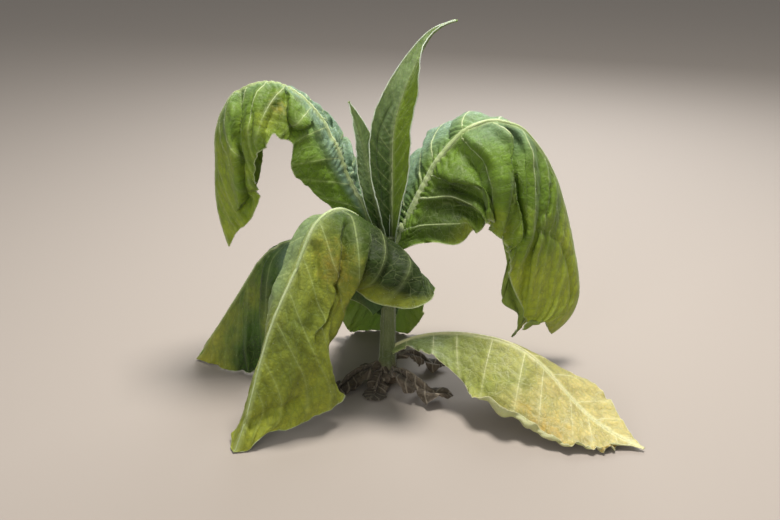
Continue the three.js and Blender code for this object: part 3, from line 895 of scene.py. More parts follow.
def make_blade(name, form):
    """The blade as a closed mesh. Its surface is kept in the form, for the veins that follow it."""
    share = np.linspace(0, 1, form["rows"] + 1)
    across = columns_across(form["half_columns"])
    points, facing, widths = blade_surface(form, share, across)
    form["surface"] = points, facing
    rows, columns = points.shape[:2]
    shares, places = share[:, None], across[None, :]
    out_mm = np.abs(places) * widths
    rib = rib_width(form, share)[:, None]
    thick = form["thickness"] * (1 - EDGE_THINNING * np.abs(places)) / 2
    shoulder = SHOULDER * rib * np.exp(-((out_mm / (SHOULDER_REACH * rib)) ** 2))
    upper = points + facing * (thick + 0.5 * shoulder)[..., None]
    lower = points - facing * (thick + shoulder)[..., None]
    edge = edge_faces(rows, columns)
    under_faces = grid_faces(rows, columns, rows * columns)[:, ::-1]
    corners = np.vstack([grid_faces(rows, columns), under_faces, edge])
    number = vein_number(form, shares, places)
    spacing = form["length"] / np.maximum(np.gradient(number, share, axis=0), 1)
    place = spread(spacing, places, shares * form["length"])
    tints = spread(*(rule(shares, places) for rule in form["tints"]))
    fade = spread(1 - form["fade"] * smooth_step(*VEIN_FADE, shares), 0 * places, 0)
    attributes = {
        "veins": np.vstack([spread(number, out_mm, 0), spread(number, out_mm, 1)]),
        "place": np.vstack([place, place]),
        "tints": np.vstack([tints, tints]),
        "fade": np.vstack([fade, fade]),
    }
    both = np.concatenate([upper.reshape(-1, 3), lower.reshape(-1, 3)])
    obj = mesh_object(name, both, corners, blade_uv(share, across, corners, len(edge)), attributes)
    print(name, "faces", len(corners))
    return obj


# %% [markdown]
# ## Veins and hairs by Geometry Nodes
# The midrib and the side veins follow paths on the blade. A mesh of bare lines carries their paths and
# their widths, and one small tree sweeps a round section along every line. The hairs are tiny spikes
# scattered over a surface and stood up along its normals. Both trees take their sizes as named inputs, and
# both results are turned into plain meshes. Curve objects with a bevel, and a hair particle system, are the
# usual ways, but the first can't follow so many computed lines as easily, and the second leaves no mesh.


# %% Nodes in a few words
def plug(tree, socket, value):
    """Links a socket to another one, or sets its own value."""
    if isinstance(value, bpy.types.NodeSocket):
        tree.links.new(value, socket)
    elif socket.type == "RGBA" and len(value) == 3:
        socket.default_value = (*value, 1)
    else:
        socket.default_value = value


def add(tree, kind, inputs=None, **settings):
    """A node with its settings, and its inputs linked to sockets or set to values."""
    node = tree.nodes.new(kind)
    for label, value in settings.items():
        setattr(node, label, value)
    for label, value in (inputs or {}).items():
        plug(tree, node.inputs[label], value)
    return node


def new_tree(name, inputs):
    """An empty Geometry Nodes tree with a geometry input and output and the named inputs given."""
    tree = bpy.data.node_groups.new(name, "GeometryNodeTree")
    tree.interface.new_socket("Geometry", in_out="INPUT", socket_type="NodeSocketGeometry")
    tree.interface.new_socket("Geometry", in_out="OUTPUT", socket_type="NodeSocketGeometry")
    for label, kind in inputs.items():
        tree.interface.new_socket(label, in_out="INPUT", socket_type=kind)
    return tree, tree.nodes.new("NodeGroupInput"), tree.nodes.new("NodeGroupOutput")


def end_tree(tree, geometry, given, result):
    """Realize Instances and Set Material, the last nodes of a tree."""
    real = add(tree, "GeometryNodeRealizeInstances", {"Geometry": geometry})
    ends = {"Geometry": real.outputs["Geometry"], "Material": given.outputs["Finish"]}
    finish = add(tree, "GeometryNodeSetMaterial", ends)
    tree.links.new(finish.outputs["Geometry"], result.inputs["Geometry"])
    return tree


# %% A tree that sweeps ribs along lines
def rib_tree():
    """Sweeps a round section along every line, as wide as the line's own attribute says."""
    inputs = {"Thickness": "NodeSocketFloat", "Sides": "NodeSocketInt", "Finish": "NodeSocketMaterial"}
    tree, given, result = new_tree("ribs_along_lines", inputs)
    width = add(tree, "GeometryNodeInputNamedAttribute", {"Name": "width"}, data_type="FLOAT")
    factors = {0: width.outputs["Attribute"], 1: given.outputs["Thickness"]}
    scale = add(tree, "ShaderNodeMath", factors, operation="MULTIPLY")
    curve = add(tree, "GeometryNodeMeshToCurve", {"Mesh": given.outputs["Geometry"]})
    section = {"Resolution": given.outputs["Sides"], "Radius": 1.0}
    circle = add(tree, "GeometryNodeCurvePrimitiveCircle", section)
    sweep = {
        "Curve": curve.outputs["Curve"],
        "Profile Curve": circle.outputs["Curve"],
        "Scale": scale.outputs[0],
        "Fill Caps": True,
    }
    swept = add(tree, "GeometryNodeCurveToMesh", sweep)
    smooth = add(tree, "GeometryNodeSetShadeSmooth", {"Geometry": swept.outputs["Mesh"]})
    return end_tree(tree, smooth.outputs["Geometry"], given, result)


# %% A tree that grows hairs on a surface
HAIR_SEED = 7
HAIR_SIDES = 3
HAIR_LEAN = 0.5
HAIR_SIZES = (0.5, 1.2)
FULL_TURN = 6.28


def hair_tree():
    """Scatters spikes where the surface's own attribute says that it is downy, leaning every way."""
    inputs = {
        "Density": "NodeSocketFloat",
        "Length": "NodeSocketFloat",
        "Radius": "NodeSocketFloat",
        "Finish": "NodeSocketMaterial",
    }
    tree, given, result = new_tree("hairs_on_surface", inputs)
    down = add(tree, "GeometryNodeInputNamedAttribute", {"Name": "down"}, data_type="FLOAT")
    factors = {0: down.outputs["Attribute"], 1: given.outputs["Density"]}
    density = add(tree, "ShaderNodeMath", factors, operation="MULTIPLY")
    scatter = {"Mesh": given.outputs["Geometry"], "Density": density.outputs[0], "Seed": HAIR_SEED}
    points = add(tree, "GeometryNodeDistributePointsOnFaces", scatter)
    cone = {
        "Vertices": HAIR_SIDES,
        "Radius Top": 0.0,
        "Radius Bottom": given.outputs["Radius"],
        "Depth": given.outputs["Length"],
    }
    spike = add(tree, "GeometryNodeMeshCone", cone)
    leans = {0: (-HAIR_LEAN, -HAIR_LEAN, 0), 1: (HAIR_LEAN, HAIR_LEAN, FULL_TURN), "Seed": HAIR_SEED + 1}
    lean = add(tree, "FunctionNodeRandomValue", leans, data_type="FLOAT_VECTOR")
    turns = {"Rotation": points.outputs["Rotation"], "Rotate By": lean.outputs[0]}
    turn = add(tree, "FunctionNodeRotateRotation", turns, rotation_space="LOCAL")
    sizes = {2: HAIR_SIZES[0], 3: HAIR_SIZES[1], "Seed": HAIR_SEED + 2}
    size = add(tree, "FunctionNodeRandomValue", sizes, data_type="FLOAT")
    places = {
        "Points": points.outputs["Points"],
        "Instance": spike.outputs["Mesh"],
        "Rotation": turn.outputs["Rotation"],
        "Scale": size.outputs[1],
    }
    placed = add(tree, "GeometryNodeInstanceOnPoints", places)
    return end_tree(tree, placed.outputs["Instances"], given, result)


# %% Running a tree
def grown(name, source, tree, **inputs):
    """The plain mesh that a tree makes of a source object, which is then removed."""
    modifier = source.modifiers.new("grow", "NODES")
    modifier.node_group = tree
    sockets = {s.name: s.identifier for s in tree.interface.items_tree if s.in_out == "INPUT"}
    for label, value in inputs.items():
        modifier[sockets[label]] = value
    source.update_tag()
    bpy.context.view_layer.update()
    evaluated = source.evaluated_get(bpy.context.evaluated_depsgraph_get())
    mesh = bpy.data.meshes.new_from_object(evaluated)
    mesh.name = name
    obj = in_scene(name, mesh)
    bpy.data.objects.remove(source)
    return obj


def line_object(name, lines):
    """Bare lines in millimetres, each with its own widths, as a mesh of edges."""
    points = np.vstack([p for p, _ in lines])
    widths = np.concatenate([w for _, w in lines])
    starts = np.cumsum([0] + [len(p) for p, _ in lines])
    edges = [np.stack([np.arange(a, b - 1), np.arange(a + 1, b)], -1) for a, b in zip(starts, starts[1:])]
    mesh = bpy.data.meshes.new(name)
    mesh.from_pydata((points * MM).tolist(), np.vstack(edges).tolist(), [])
    layer = mesh.attributes.new("width", "FLOAT", "POINT")
    layer.data.foreach_set("value", (widths * MM).astype(np.float32))
    return in_scene(name, mesh)


RIBS = rib_tree()
HAIRS = hair_tree()
print("trees", RIBS.name, HAIRS.name)

# %% The lines that the veins follow
VEIN_POINTS = 44
VEIN_SHARE_STEPS = 2000
VEIN_START = 0.004
VEIN_END = 0.95
VEIN_LEAST = 0.12
VEIN_TAPER = 1.1
FIRST_FOOT = 0.02
LAST_PLACE = 0.985
FEWEST_POINTS = 4
RIB_RADIUS = 0.62
RIB_LIFT = 0.15
FLARE_SINK = 0.4
RIM_STEPS = 3


def bilinear(grid, row, column):
    """Values of a grid at places between its rows and columns."""
    r = np.clip(np.floor(row).astype(int), 0, grid.shape[0] - 2)
    c = np.clip(np.floor(column).astype(int), 0, grid.shape[1] - 2)
    tr, tc = (row - r)[:, None], (column - c)[:, None]
    return (
        grid[r, c] * (1 - tr) * (1 - tc)
        + grid[r + 1, c] * tr * (1 - tc)
        + grid[r, c + 1] * (1 - tr) * tc
        + grid[r + 1, c + 1] * tr * tc
    )


def rim_lines(form):
    """The two margins, as points with widths."""
    points = form["surface"][0][RIM_STEPS:-2]
    return [(points[:, edge], np.full(len(points), form["rim"])) for edge in (0, -1)]


def vein_lines(form):
    """The midrib, and each side vein where the vein count is whole, as points with widths."""
    share = np.linspace(0, 1, form["rows"] + 1)
    middle = form["half_columns"]
    across = columns_across(middle)
    points, facing = form["surface"]
    rib, flare = rib_width(form, share), rib_flare(form, share)
    lift = (RIB_LIFT * rib - FLARE_SINK * flare)[:, None]
    lines = [(points[:, middle] + facing[:, middle] * lift, RIB_RADIUS * (rib + flare))]
    steps = np.linspace(0, 1, VEIN_SHARE_STEPS)
    out = np.linspace(VEIN_START, VEIN_END, VEIN_POINTS)
    for sign, side in ((1, "right"), (-1, "left")):
        numbers = [vein_number(form, steps, np.full_like(steps, sign * o)) for o in out]
        for k in range(1, len(form[side]["vein_at"]) + 1):
            shares = np.array([np.interp(k, number, steps) for number in numbers])
            kept = shares < LAST_PLACE
            if shares[0] < FIRST_FOOT or kept.sum() < FEWEST_POINTS:
                continue
            rows = shares[kept] * form["rows"]
            columns = np.interp(sign * out[kept], across, np.arange(len(across)))
            place, up = bilinear(points, rows, columns), bilinear(facing, rows, columns)
            wide = along(form["vein_width"], shares[0]) * (1 - out[kept]) ** VEIN_TAPER + VEIN_LEAST
            lines.append((place - form["vein_sink"] * wide[:, None] * up, wide))
    return lines


# %% [markdown]
# ## Finishes
# The leaf's colour is laid down in steps, as the eye reads it: green; bluer near the stem and elsewhere where
# a reflection of the sky is painted; a deeper green where shade is painted; yellow and ochre where it ages;
# painted shade in the small hollows along the net of veins; and pale on the veins, which fade towards the
# tip. The veins' places come from the mesh, so the pale lines lie exactly on them. The underside is paler and
# duller. A little light passes through the blade, and a faint sheen stands for the down on it. Photographs
# wrapped on the leaf would give such detail in one place only. A rule gives it all over, also on the sides
# that no photo shows.


# %% A short way to write a material
class Finish:
    """A material whose nodes are written as nested calls."""

    def __init__(self, name):
        self.material = bpy.data.materials.new(name)
        self.material.use_nodes = True
        self.tree = self.material.node_tree
        self.shader = self.tree.nodes["Principled BSDF"]

    def math(self, operation, a, b=0.0):
        """A calculation on one or two values."""
        return add(self.tree, "ShaderNodeMath", {0: a, 1: b}, operation=operation).outputs[0]

    def times(self, a, b):
        return self.math("MULTIPLY", a, b)

    def plus(self, a, b):
        return self.math("ADD", a, b)

    def minus(self, a, b):
        return self.math("SUBTRACT", a, b)

    def most(self, *values):
        """The largest of the values at each place."""
        return functools.reduce(functools.partial(self.math, "MAXIMUM"), values)

    def from_whole(self, number):
        """How far a count is from the nearest whole number."""
        return self.math("ABSOLUTE", self.minus(self.math("FRACT", self.plus(number, 0.5)), 0.5))

    def split(self, vector):
        """The three numbers of a vector."""
        return add(self.tree, "ShaderNodeSeparateXYZ", {0: vector}).outputs

    def join(self, x, y, z):
        """A vector of three numbers."""
        return add(self.tree, "ShaderNodeCombineXYZ", {0: x, 1: y, 2: z}).outputs[0]

    def grey(self, value):
        """A colour that is only light or dark, to multiply another one by."""
        return self.join(value, value, value)

    def attribute(self, name):
        """The three numbers that the mesh carries under a name."""
        return self.split(add(self.tree, "ShaderNodeAttribute", attribute_name=name).outputs["Vector"])

    def object_place(self):
        """The place on the object, in metres."""
        return add(self.tree, "ShaderNodeTexCoord").outputs["Object"]

    def noise(self, scale, detail=3.0, roughness=0.55):
        """Soft spots from 0 to 1, as many to a metre as the scale says."""
        inputs = {"Vector": self.object_place(), "Scale": scale, "Detail": detail, "Roughness": roughness}
        return add(self.tree, "ShaderNodeTexNoise", inputs).outputs["Fac"]

    def cells(self, scale, vector=None):
        """Distance to the lines of a net."""
        inputs = {"Vector": vector or self.object_place(), "Scale": scale}
        return add(self.tree, "ShaderNodeTexVoronoi", inputs, feature="DISTANCE_TO_EDGE").outputs["Distance"]

    def range(self, value, low, high, to_low=0.0, to_high=1.0):
        """A value carried smoothly from one range to another."""
        inputs = {"Value": value, "From Min": low, "From Max": high, "To Min": to_low, "To Max": to_high}
        return add(self.tree, "ShaderNodeMapRange", inputs, interpolation_type="SMOOTHSTEP").outputs["Result"]

    def mix(self, share, a, b, blend="MIX"):
        """Two colours mixed."""
        inputs = {0: share, 6: a, 7: b}
        return add(self.tree, "ShaderNodeMix", inputs, data_type="RGBA", blend_type=blend).outputs[2]

    def bump(self, height, distance, strength):
        """Normals that stand for a relief too fine to model."""
        inputs = {"Height": height, "Distance": distance, "Strength": strength}
        return add(self.tree, "ShaderNodeBump", inputs).outputs["Normal"]

    def finish(self, **sockets):
        """The material, with the shader's own sockets linked or set."""
        by_label = {socket.name.lower().replace(" ", "_"): socket for socket in self.shader.inputs}
        for label, value in sockets.items():
            plug(self.tree, by_label[label], value)
        return self.material


# %% The colour of a blade
PALE = (0.44, 0.52, 0.22)
UNDER = (0.17, 0.23, 0.09)
# How dark the painted shade is: a darker green on the blade, and a darker colour in the hollows of the net.
PAINTED_SHADE_DARKNESS = 0.4
PAINTED_HOLLOW_SHADE = (0.42, 0.5, 0.42)
PATCH_SCALE, MOTTLE_SCALE, GRAIN_SCALE, FINE_NET = 28, 95, 900, 230
TURNED_YELLOW = (0.15, 0.95)
SPOT_FROM = 0.62
SPOT_SHARPNESS = 1.6
NET_ALONG = 0.085
NET_OUT = 0.11
VEIN_LINE_MM = (1.0, 0.3)
VEIN_HALO_MM = (5.0, 0.5)
MIDRIB_MM = (6.0, 1.5)
PALE_EDGE = (0.98, 1.0)
HALO_SHOW, NET_SHOW, FINE_SHOW = 0.28, 0.32, 0.12
BUMP_DEPTH = 0.0007


def aged_colour(f, mottle, green, painted_sky_sheen, yellow, ochre, patch_show):
    """Green, darker where shade is painted and bluer where a reflection of the sky is painted, as the mesh
    says, then yellow and ochre, and mottled all over.
    """
    # The second tint paints shade below zero, as a darker green, and a reflection of the sky above zero, as a
    # bluer colour.
    yellowing, painted_sheen_and_shade, browning = f.attribute("tints")
    painted_shade_green = tuple(PAINTED_SHADE_DARKNESS * c for c in green)
    colour = f.mix(f.range(painted_sheen_and_shade, -1.0, 0.0), painted_shade_green, green)
    colour = f.mix(f.range(painted_sheen_and_shade, 0.0, 1.0), colour, painted_sky_sheen)
    patches = f.times(f.minus(f.noise(PATCH_SCALE, 4), 0.5), patch_show)
    colour = f.mix(f.range(f.plus(yellowing, patches), *TURNED_YELLOW), colour, yellow)
    spots = f.plus(browning, f.times(f.minus(mottle, SPOT_FROM), SPOT_SHARPNESS))
    colour = f.mix(f.times(f.range(spots, 0.1, 0.9), 0.8), colour, ochre)
    return f.mix(1.0, colour, f.grey(f.range(mottle, 0.3, 0.7, 0.82, 1.16)), "MULTIPLY")


def vein_marks(f, number, out_mm, net, fine_net):
    """How pale the blade is on its side veins, on the nets between them, on the midrib and at the edge."""
    spacing, across, _ = f.attribute("place")
    near_mm = f.times(f.from_whole(number), spacing)
    outwards = f.math("ABSOLUTE", across)
    line = f.times(f.range(near_mm, *VEIN_LINE_MM), f.range(outwards, 1.0, 0.25, 0.3, 1.0))
    line = f.times(line, f.attribute("fade")[0])
    halo = f.times(f.range(near_mm, *VEIN_HALO_MM), HALO_SHOW)
    net_line = f.times(f.range(net, 0.045, 0.0), NET_SHOW)
    fine_line = f.times(f.range(fine_net, 0.06, 0.0), FINE_SHOW)
    middle, edge = f.range(out_mm, *MIDRIB_MM), f.range(outwards, *PALE_EDGE)
    return f.most(line, halo, net_line, fine_line, middle, edge)


def blade_finish(
    name, green, painted_sky_sheen, yellow, ochre, pale=PALE, under=UNDER,
    vein_show=0.6, rough=0.52, shine=0.34, sheen=0.06, under_show=0.5, patch_show=0.9,
):
    """A blade's material, from its palette and how strongly each thing shows."""
    f = Finish(name)
    number, out_mm, below = f.attribute("veins")
    along_mm = f.attribute("place")[2]
    net = f.cells(1.0, f.join(f.times(along_mm, NET_ALONG), f.times(out_mm, NET_OUT), 0.0))
    fine_net = f.cells(FINE_NET)
    mottle = f.noise(MOTTLE_SCALE, 4, 0.65)
    colour = aged_colour(f, mottle, green, painted_sky_sheen, yellow, ochre, patch_show)
    # Painted shade: the blade is made darker in the small hollows along the net of veins.
    painted_hollow_shade = f.most(f.times(f.range(net, 0.14, 0.04), 0.36), f.times(f.range(fine_net, 0.16, 0.05), 0.2))
    colour = f.mix(painted_hollow_shade, colour, PAINTED_HOLLOW_SHADE, "MULTIPLY")
    colour = f.mix(f.times(vein_marks(f, number, out_mm, net, fine_net), vein_show), colour, pale)
    colour = f.mix(f.times(below, under_show), colour, under)
    grain = f.noise(GRAIN_SCALE, 2, 0.6)
    height = f.plus(f.times(f.range(fine_net, 0.0, 0.35), 0.5), f.times(grain, 0.3))
    height = f.plus(height, f.times(f.range(net, 0.0, 0.3), 0.7))
    height = f.plus(height, f.times(mottle, 0.9))
    return f.finish(
        base_color=colour,
        roughness=f.range(mottle, 0.3, 0.7, rough - 0.08, rough + 0.1),
        normal=f.bump(height, BUMP_DEPTH, 0.6),
        subsurface_weight=0.1,
        subsurface_radius=(0.003, 0.004, 0.001),
        subsurface_scale=1.0,
        sheen_weight=sheen,
        sheen_roughness=0.45,
        sheen_tint=(0.85, 0.95, 0.9),
        specular_ior_level=shine,
    )


# %% Ribs, stem, hairs and dead leaves
def rib_finish(name, base, streak):
    """A fleshy pale rib, with soft streaks."""
    f = Finish(name)
    soft, fine = f.noise(60, 3), f.noise(700, 3)
    colour = f.mix(f.range(soft, 0.3, 0.7), base, streak)
    colour = f.mix(1.0, colour, f.grey(f.range(fine, 0.2, 0.8, 0.88, 1.1)), "MULTIPLY")
    return f.finish(
        base_color=colour,
        roughness=0.5,
        normal=f.bump(fine, 0.0004, 0.6),
        subsurface_weight=0.15,
        subsurface_radius=(0.004, 0.005, 0.002),
        subsurface_scale=1.0,
        sheen_weight=0.3,
        sheen_roughness=0.5,
        specular_ior_level=0.4,
    )


def stem_finish():
    """A green stem, earthy at its foot."""
    f = Finish("green_stem")
    height = f.split(f.object_place())[2]
    soft, fine = f.noise(40, 4), f.noise(500, 3)
    colour = f.mix(f.range(soft, 0.3, 0.7), (0.10, 0.135, 0.035), (0.15, 0.185, 0.065))
    earthy = f.plus(f.range(height, 0.045, 0.0), f.times(f.minus(soft, 0.5), 0.8))
    colour = f.mix(f.range(earthy, 0.1, 0.9), colour, (0.17, 0.12, 0.075))
    colour = f.mix(1.0, colour, f.grey(f.range(fine, 0.2, 0.8, 0.8, 1.15)), "MULTIPLY")
    return f.finish(
        base_color=colour,
        roughness=0.58,
        normal=f.bump(f.plus(fine, soft), 0.0006, 0.7),
        subsurface_weight=0.05,
        subsurface_radius=(0.003, 0.004, 0.002),
        sheen_weight=0.35,
        sheen_roughness=0.5,
    )


def dead_finish():
    """A dry brown leaf with its veins a little paler."""
    f = Finish("dead_leaf")
    number, _, below = f.attribute("veins")
    soft, fine, grain = f.noise(55, 4, 0.65), f.noise(260, 4, 0.7), f.noise(1200, 2)
    colour = f.mix(f.range(soft, 0.3, 0.72), (0.055, 0.042, 0.028), (0.15, 0.118, 0.082))
    colour = f.mix(f.range(fine, 0.5, 0.8), colour, (0.22, 0.19, 0.145))
    colour = f.mix(f.times(f.range(f.from_whole(number), 0.12, 0.02), 0.6), colour, (0.33, 0.28, 0.21))
    colour = f.mix(f.times(below, 0.3), colour, (0.25, 0.22, 0.17))
    return f.finish(
        base_color=colour,
        roughness=0.85,
        normal=f.bump(f.plus(fine, f.times(grain, 0.4)), 0.0009, 0.9),
        sheen_weight=0.1,
        sheen_roughness=0.6,
        specular_ior_level=0.25,
    )


# %% The palette of each finish
# In each palette the bluer colour is a painted reflection of the sky.
FINISHES = {
    "arched": blade_finish(
        "arched_leaf",
        green=(0.115, 0.195, 0.015),
        painted_sky_sheen=(0.17, 0.26, 0.17),
        yellow=(0.34, 0.40, 0.035),
        ochre=(0.40, 0.27, 0.05),
        vein_show=0.5, rough=0.56, shine=0.24,
    ),
    # The front leaf's green is its own colour made darker, as painted shade for its base half under the young
    # leaves.
    "turning": blade_finish(
        "turning_leaf",
        green=(0.042, 0.076, 0.009),
        painted_sky_sheen=(0.20, 0.27, 0.12),
        yellow=(0.33, 0.36, 0.04),
        ochre=(0.27, 0.205, 0.03),
        vein_show=0.36, rough=0.6, shine=0.16, patch_show=0.5,
    ),
    "shaded": blade_finish(
        "shaded_leaf",
        green=(0.065, 0.125, 0.02),
        painted_sky_sheen=(0.16, 0.25, 0.15),
        yellow=(0.33, 0.325, 0.04),
        ochre=(0.28, 0.20, 0.04),
        under=(0.24, 0.35, 0.10),
        vein_show=0.26, rough=0.58, shine=0.25, under_show=0.85,
    ),
    "yellow": blade_finish(
        "yellow_leaf",
        green=(0.27, 0.30, 0.06),
        painted_sky_sheen=(0.24, 0.30, 0.10),
        yellow=(0.52, 0.44, 0.155),
        ochre=(0.50, 0.31, 0.05),
        pale=(0.74, 0.74, 0.42),
        under=(0.40, 0.41, 0.21),
        vein_show=0.55, under_show=0.85,
    ),
    "young": blade_finish(
        "young_leaf",
        green=(0.03, 0.066, 0.007),
        painted_sky_sheen=(0.38, 0.50, 0.25),
        yellow=(0.17, 0.25, 0.02),
        ochre=(0.3, 0.3, 0.1),
        under=(0.12, 0.18, 0.07),
        vein_show=0.32, shine=0.2, sheen=0.1,
    ),
    "dead": dead_finish(),
    "rib": rib_finish("pale_rib", (0.47, 0.54, 0.27), (0.34, 0.43, 0.17)),
    "yellow_rib": rib_finish("yellow_rib", (0.66, 0.62, 0.33), (0.50, 0.52, 0.24)),
    "margin": rib_finish("pale_margin", (0.62, 0.70, 0.56), (0.50, 0.60, 0.42)),
    "dead_rib": rib_finish("dead_rib", (0.20, 0.16, 0.11), (0.12, 0.09, 0.06)),
    "stem": stem_finish(),
    "hair": rib_finish("pale_hair", (0.80, 0.84, 0.72), (0.70, 0.76, 0.60)),
}
print("finishes", len(FINISHES))

# %% [markdown]
# ## How each leaf has wilted and turned
# Each leaf now gets its looks: where its side veins start, how deeply it sags between them, its folds and
# laps as lines on the blade, and where it has coloured. Three fields tell the finish where the blade is
# yellow, where a bluer reflection of the sky is painted, or painted shade as a deeper green where the field
# is below zero, and where it has browned. A field is a run of stations along the leaf, more or less towards
# the margin, and a few soft patches. Painting the colours on by hand would also do, but a field is short to
# write and stays right when the leaf's shape changes.


# %% Fields of colour
def field(stations, margin=0.0, patches=()):
    """A rule for how much of a tint a place has: stations along the leaf, more at the margin, and patches.
    A patch has the sign of its half, its share and place across, its reach each way, and its amount."""

    def value(share, across):
        total = along(stations, share) + margin * np.abs(across) ** 3
        for side, at, out, long, wide, amount in patches:
            reach = ((share - at) / long) ** 2 + ((across - side * out) / wide) ** 2
            total = total + amount * np.exp(-reach)
        return total

    return value


NO_TINT = field([0, 0])


def evenly(first, last, count):
    """Places of side veins that are spaced evenly."""
    return np.linspace(first, last, count).tolist()


# %% The right arching leaf
LOOKS = {}
LOOKS["right_arch_leaf"] = dict(
    finish="arched", seed=11, flare=0.95, cell_mm=17, blister=0.6, crumple=1.6, wrinkle=0.35, ruffle=2.2,
    rim=0.35, vein_width=[1.35, 1.15, 1.0, 0.85, 0.35, 0.15, 0.08, 0.05], vein_sink=0.1,
    gather_reach=17, gather=[2.6, 2.6, 1.6, 0.4, 0, 0, 0, 0],
    right_looks=dict(
        vein_at=[0.05, 0.12, 0.19, 0.29, 0.365, 0.44, 0.51, 0.58, 0.65, 0.72, 0.79, 0.86, 0.93],
        forward=[0.10, 0.16, 0.20, 0.17, 0.20, 0.28, 0.28, 0.2],
        ridge=[3, 12, 23, 22, 11, 4, 3, 2],
    ),
    left_looks=dict(
        vein_at=[0.08, 0.15, 0.22, 0.3, 0.38, 0.46, 0.54, 0.62, 0.7, 0.78, 0.86, 0.94],
        forward=[0.10, 0.12, 0.15, 0.17, 0.20, 0.25, 0.25, 0.2],
        ridge=[2, 9, 12, 9, 6, 5, 4, 2],
    ),
    folds=[
        ([(0.55, 0.2), (0.593, 0.36), (0.61, 0.53), (0.663, 0.74), (0.818, 0.98)], -5, 7, 4),
        ([(0.60, 0.6), (0.643, 0.41), (0.735, 0.22), (0.826, 0.19), (0.92, 0.25)], -3, 4, 4),
        ([(0.62, -0.1), (0.68, -0.4), (0.78, -0.6), (0.9, -0.7)], -5, 6, 6),
        (
            [(0.395, 0.04), (0.418, 0.2), (0.428, 0.38), (0.447, 0.54), (0.484, 0.67), (0.545, 0.85)],
            -9, 3.5, 6,
        ),
    ],
    laps=[
        ([(0.19, 0.02), (0.263, 0.41), (0.331, 0.64), (0.365, 0.85), (0.38, 1.1)], 10, 11, 14, -1),
        (
            [(0.29, 0.02), (0.339, 0.28), (0.367, 0.44), (0.405, 0.70), (0.471, 0.95), (0.49, 1.15)],
            10, 11, 12, -1,
        ),
        (
            [
                (0.372, 0.02), (0.397, 0.18), (0.408, 0.36), (0.422, 0.54), (0.465, 0.69),
                (0.53, 0.88), (0.56, 1.15),
            ],
            4.6, 11, 11, 1,
        ),
        (
            [
                (0.403, 0.02), (0.436, 0.14), (0.447, 0.36), (0.467, 0.51), (0.5, 0.64),
                (0.56, 0.8), (0.6, 1.0),
            ],
            4.2, 6, 15, -1,
        ),
        (
            [(0.57, 0.15), (0.593, 0.33), (0.60, 0.53), (0.663, 0.74), (0.80, 0.95), (0.9, 1.1)],
            2.5, 4, 12, -1,
        ),
        ([(0.18, -0.04), (0.22, -0.4), (0.27, -0.8), (0.3, -1.1)], 7, 5, 12, 1),
        ([(0.27, -0.04), (0.31, -0.4), (0.36, -0.8), (0.38, -1.1)], 7, 5, 12, 1),
        ([(0.5, -0.04), (0.56, -0.4), (0.66, -0.7), (0.75, -1.1)], 6, 5, 12, 1),
    ],
    tints=[
        field(
            [0, 0, 0.05, 0.1, 0.27, 0.66, 1.05, 1.5],
            0.3,
            [
                (1, 0.16, 1.0, 0.06, 0.3, 0.5), (1, 0.43, 1.0, 0.035, 0.2, 0.45),
                (1, 0.2, 0.4, 0.2, 0.4, -0.25),
            ],
        ),
        # The second field: a bluer reflection of the sky, painted at the base, on the left half and by the
        # midrib, and painted shade below zero on the right half's wings.
        field(
            [0.1, 0.1, 0.05, 0, 0, 0, 0, 0],
            0,
            [
                (-1, 0.25, 0.7, 0.25, 0.6, 1.1),
                (1, 0.05, 0.1, 0.06, 0.2, 0.4),
                (1, 0.4, 0.1, 0.1, 0.22, 0.5),
                (1, 0.15, 0.55, 0.14, 0.5, -1.4),
            ],
        ),
        field([0, 0, 0, 0, 0, 0.1, 0.22, 0.4], 0.1),
    ],
)

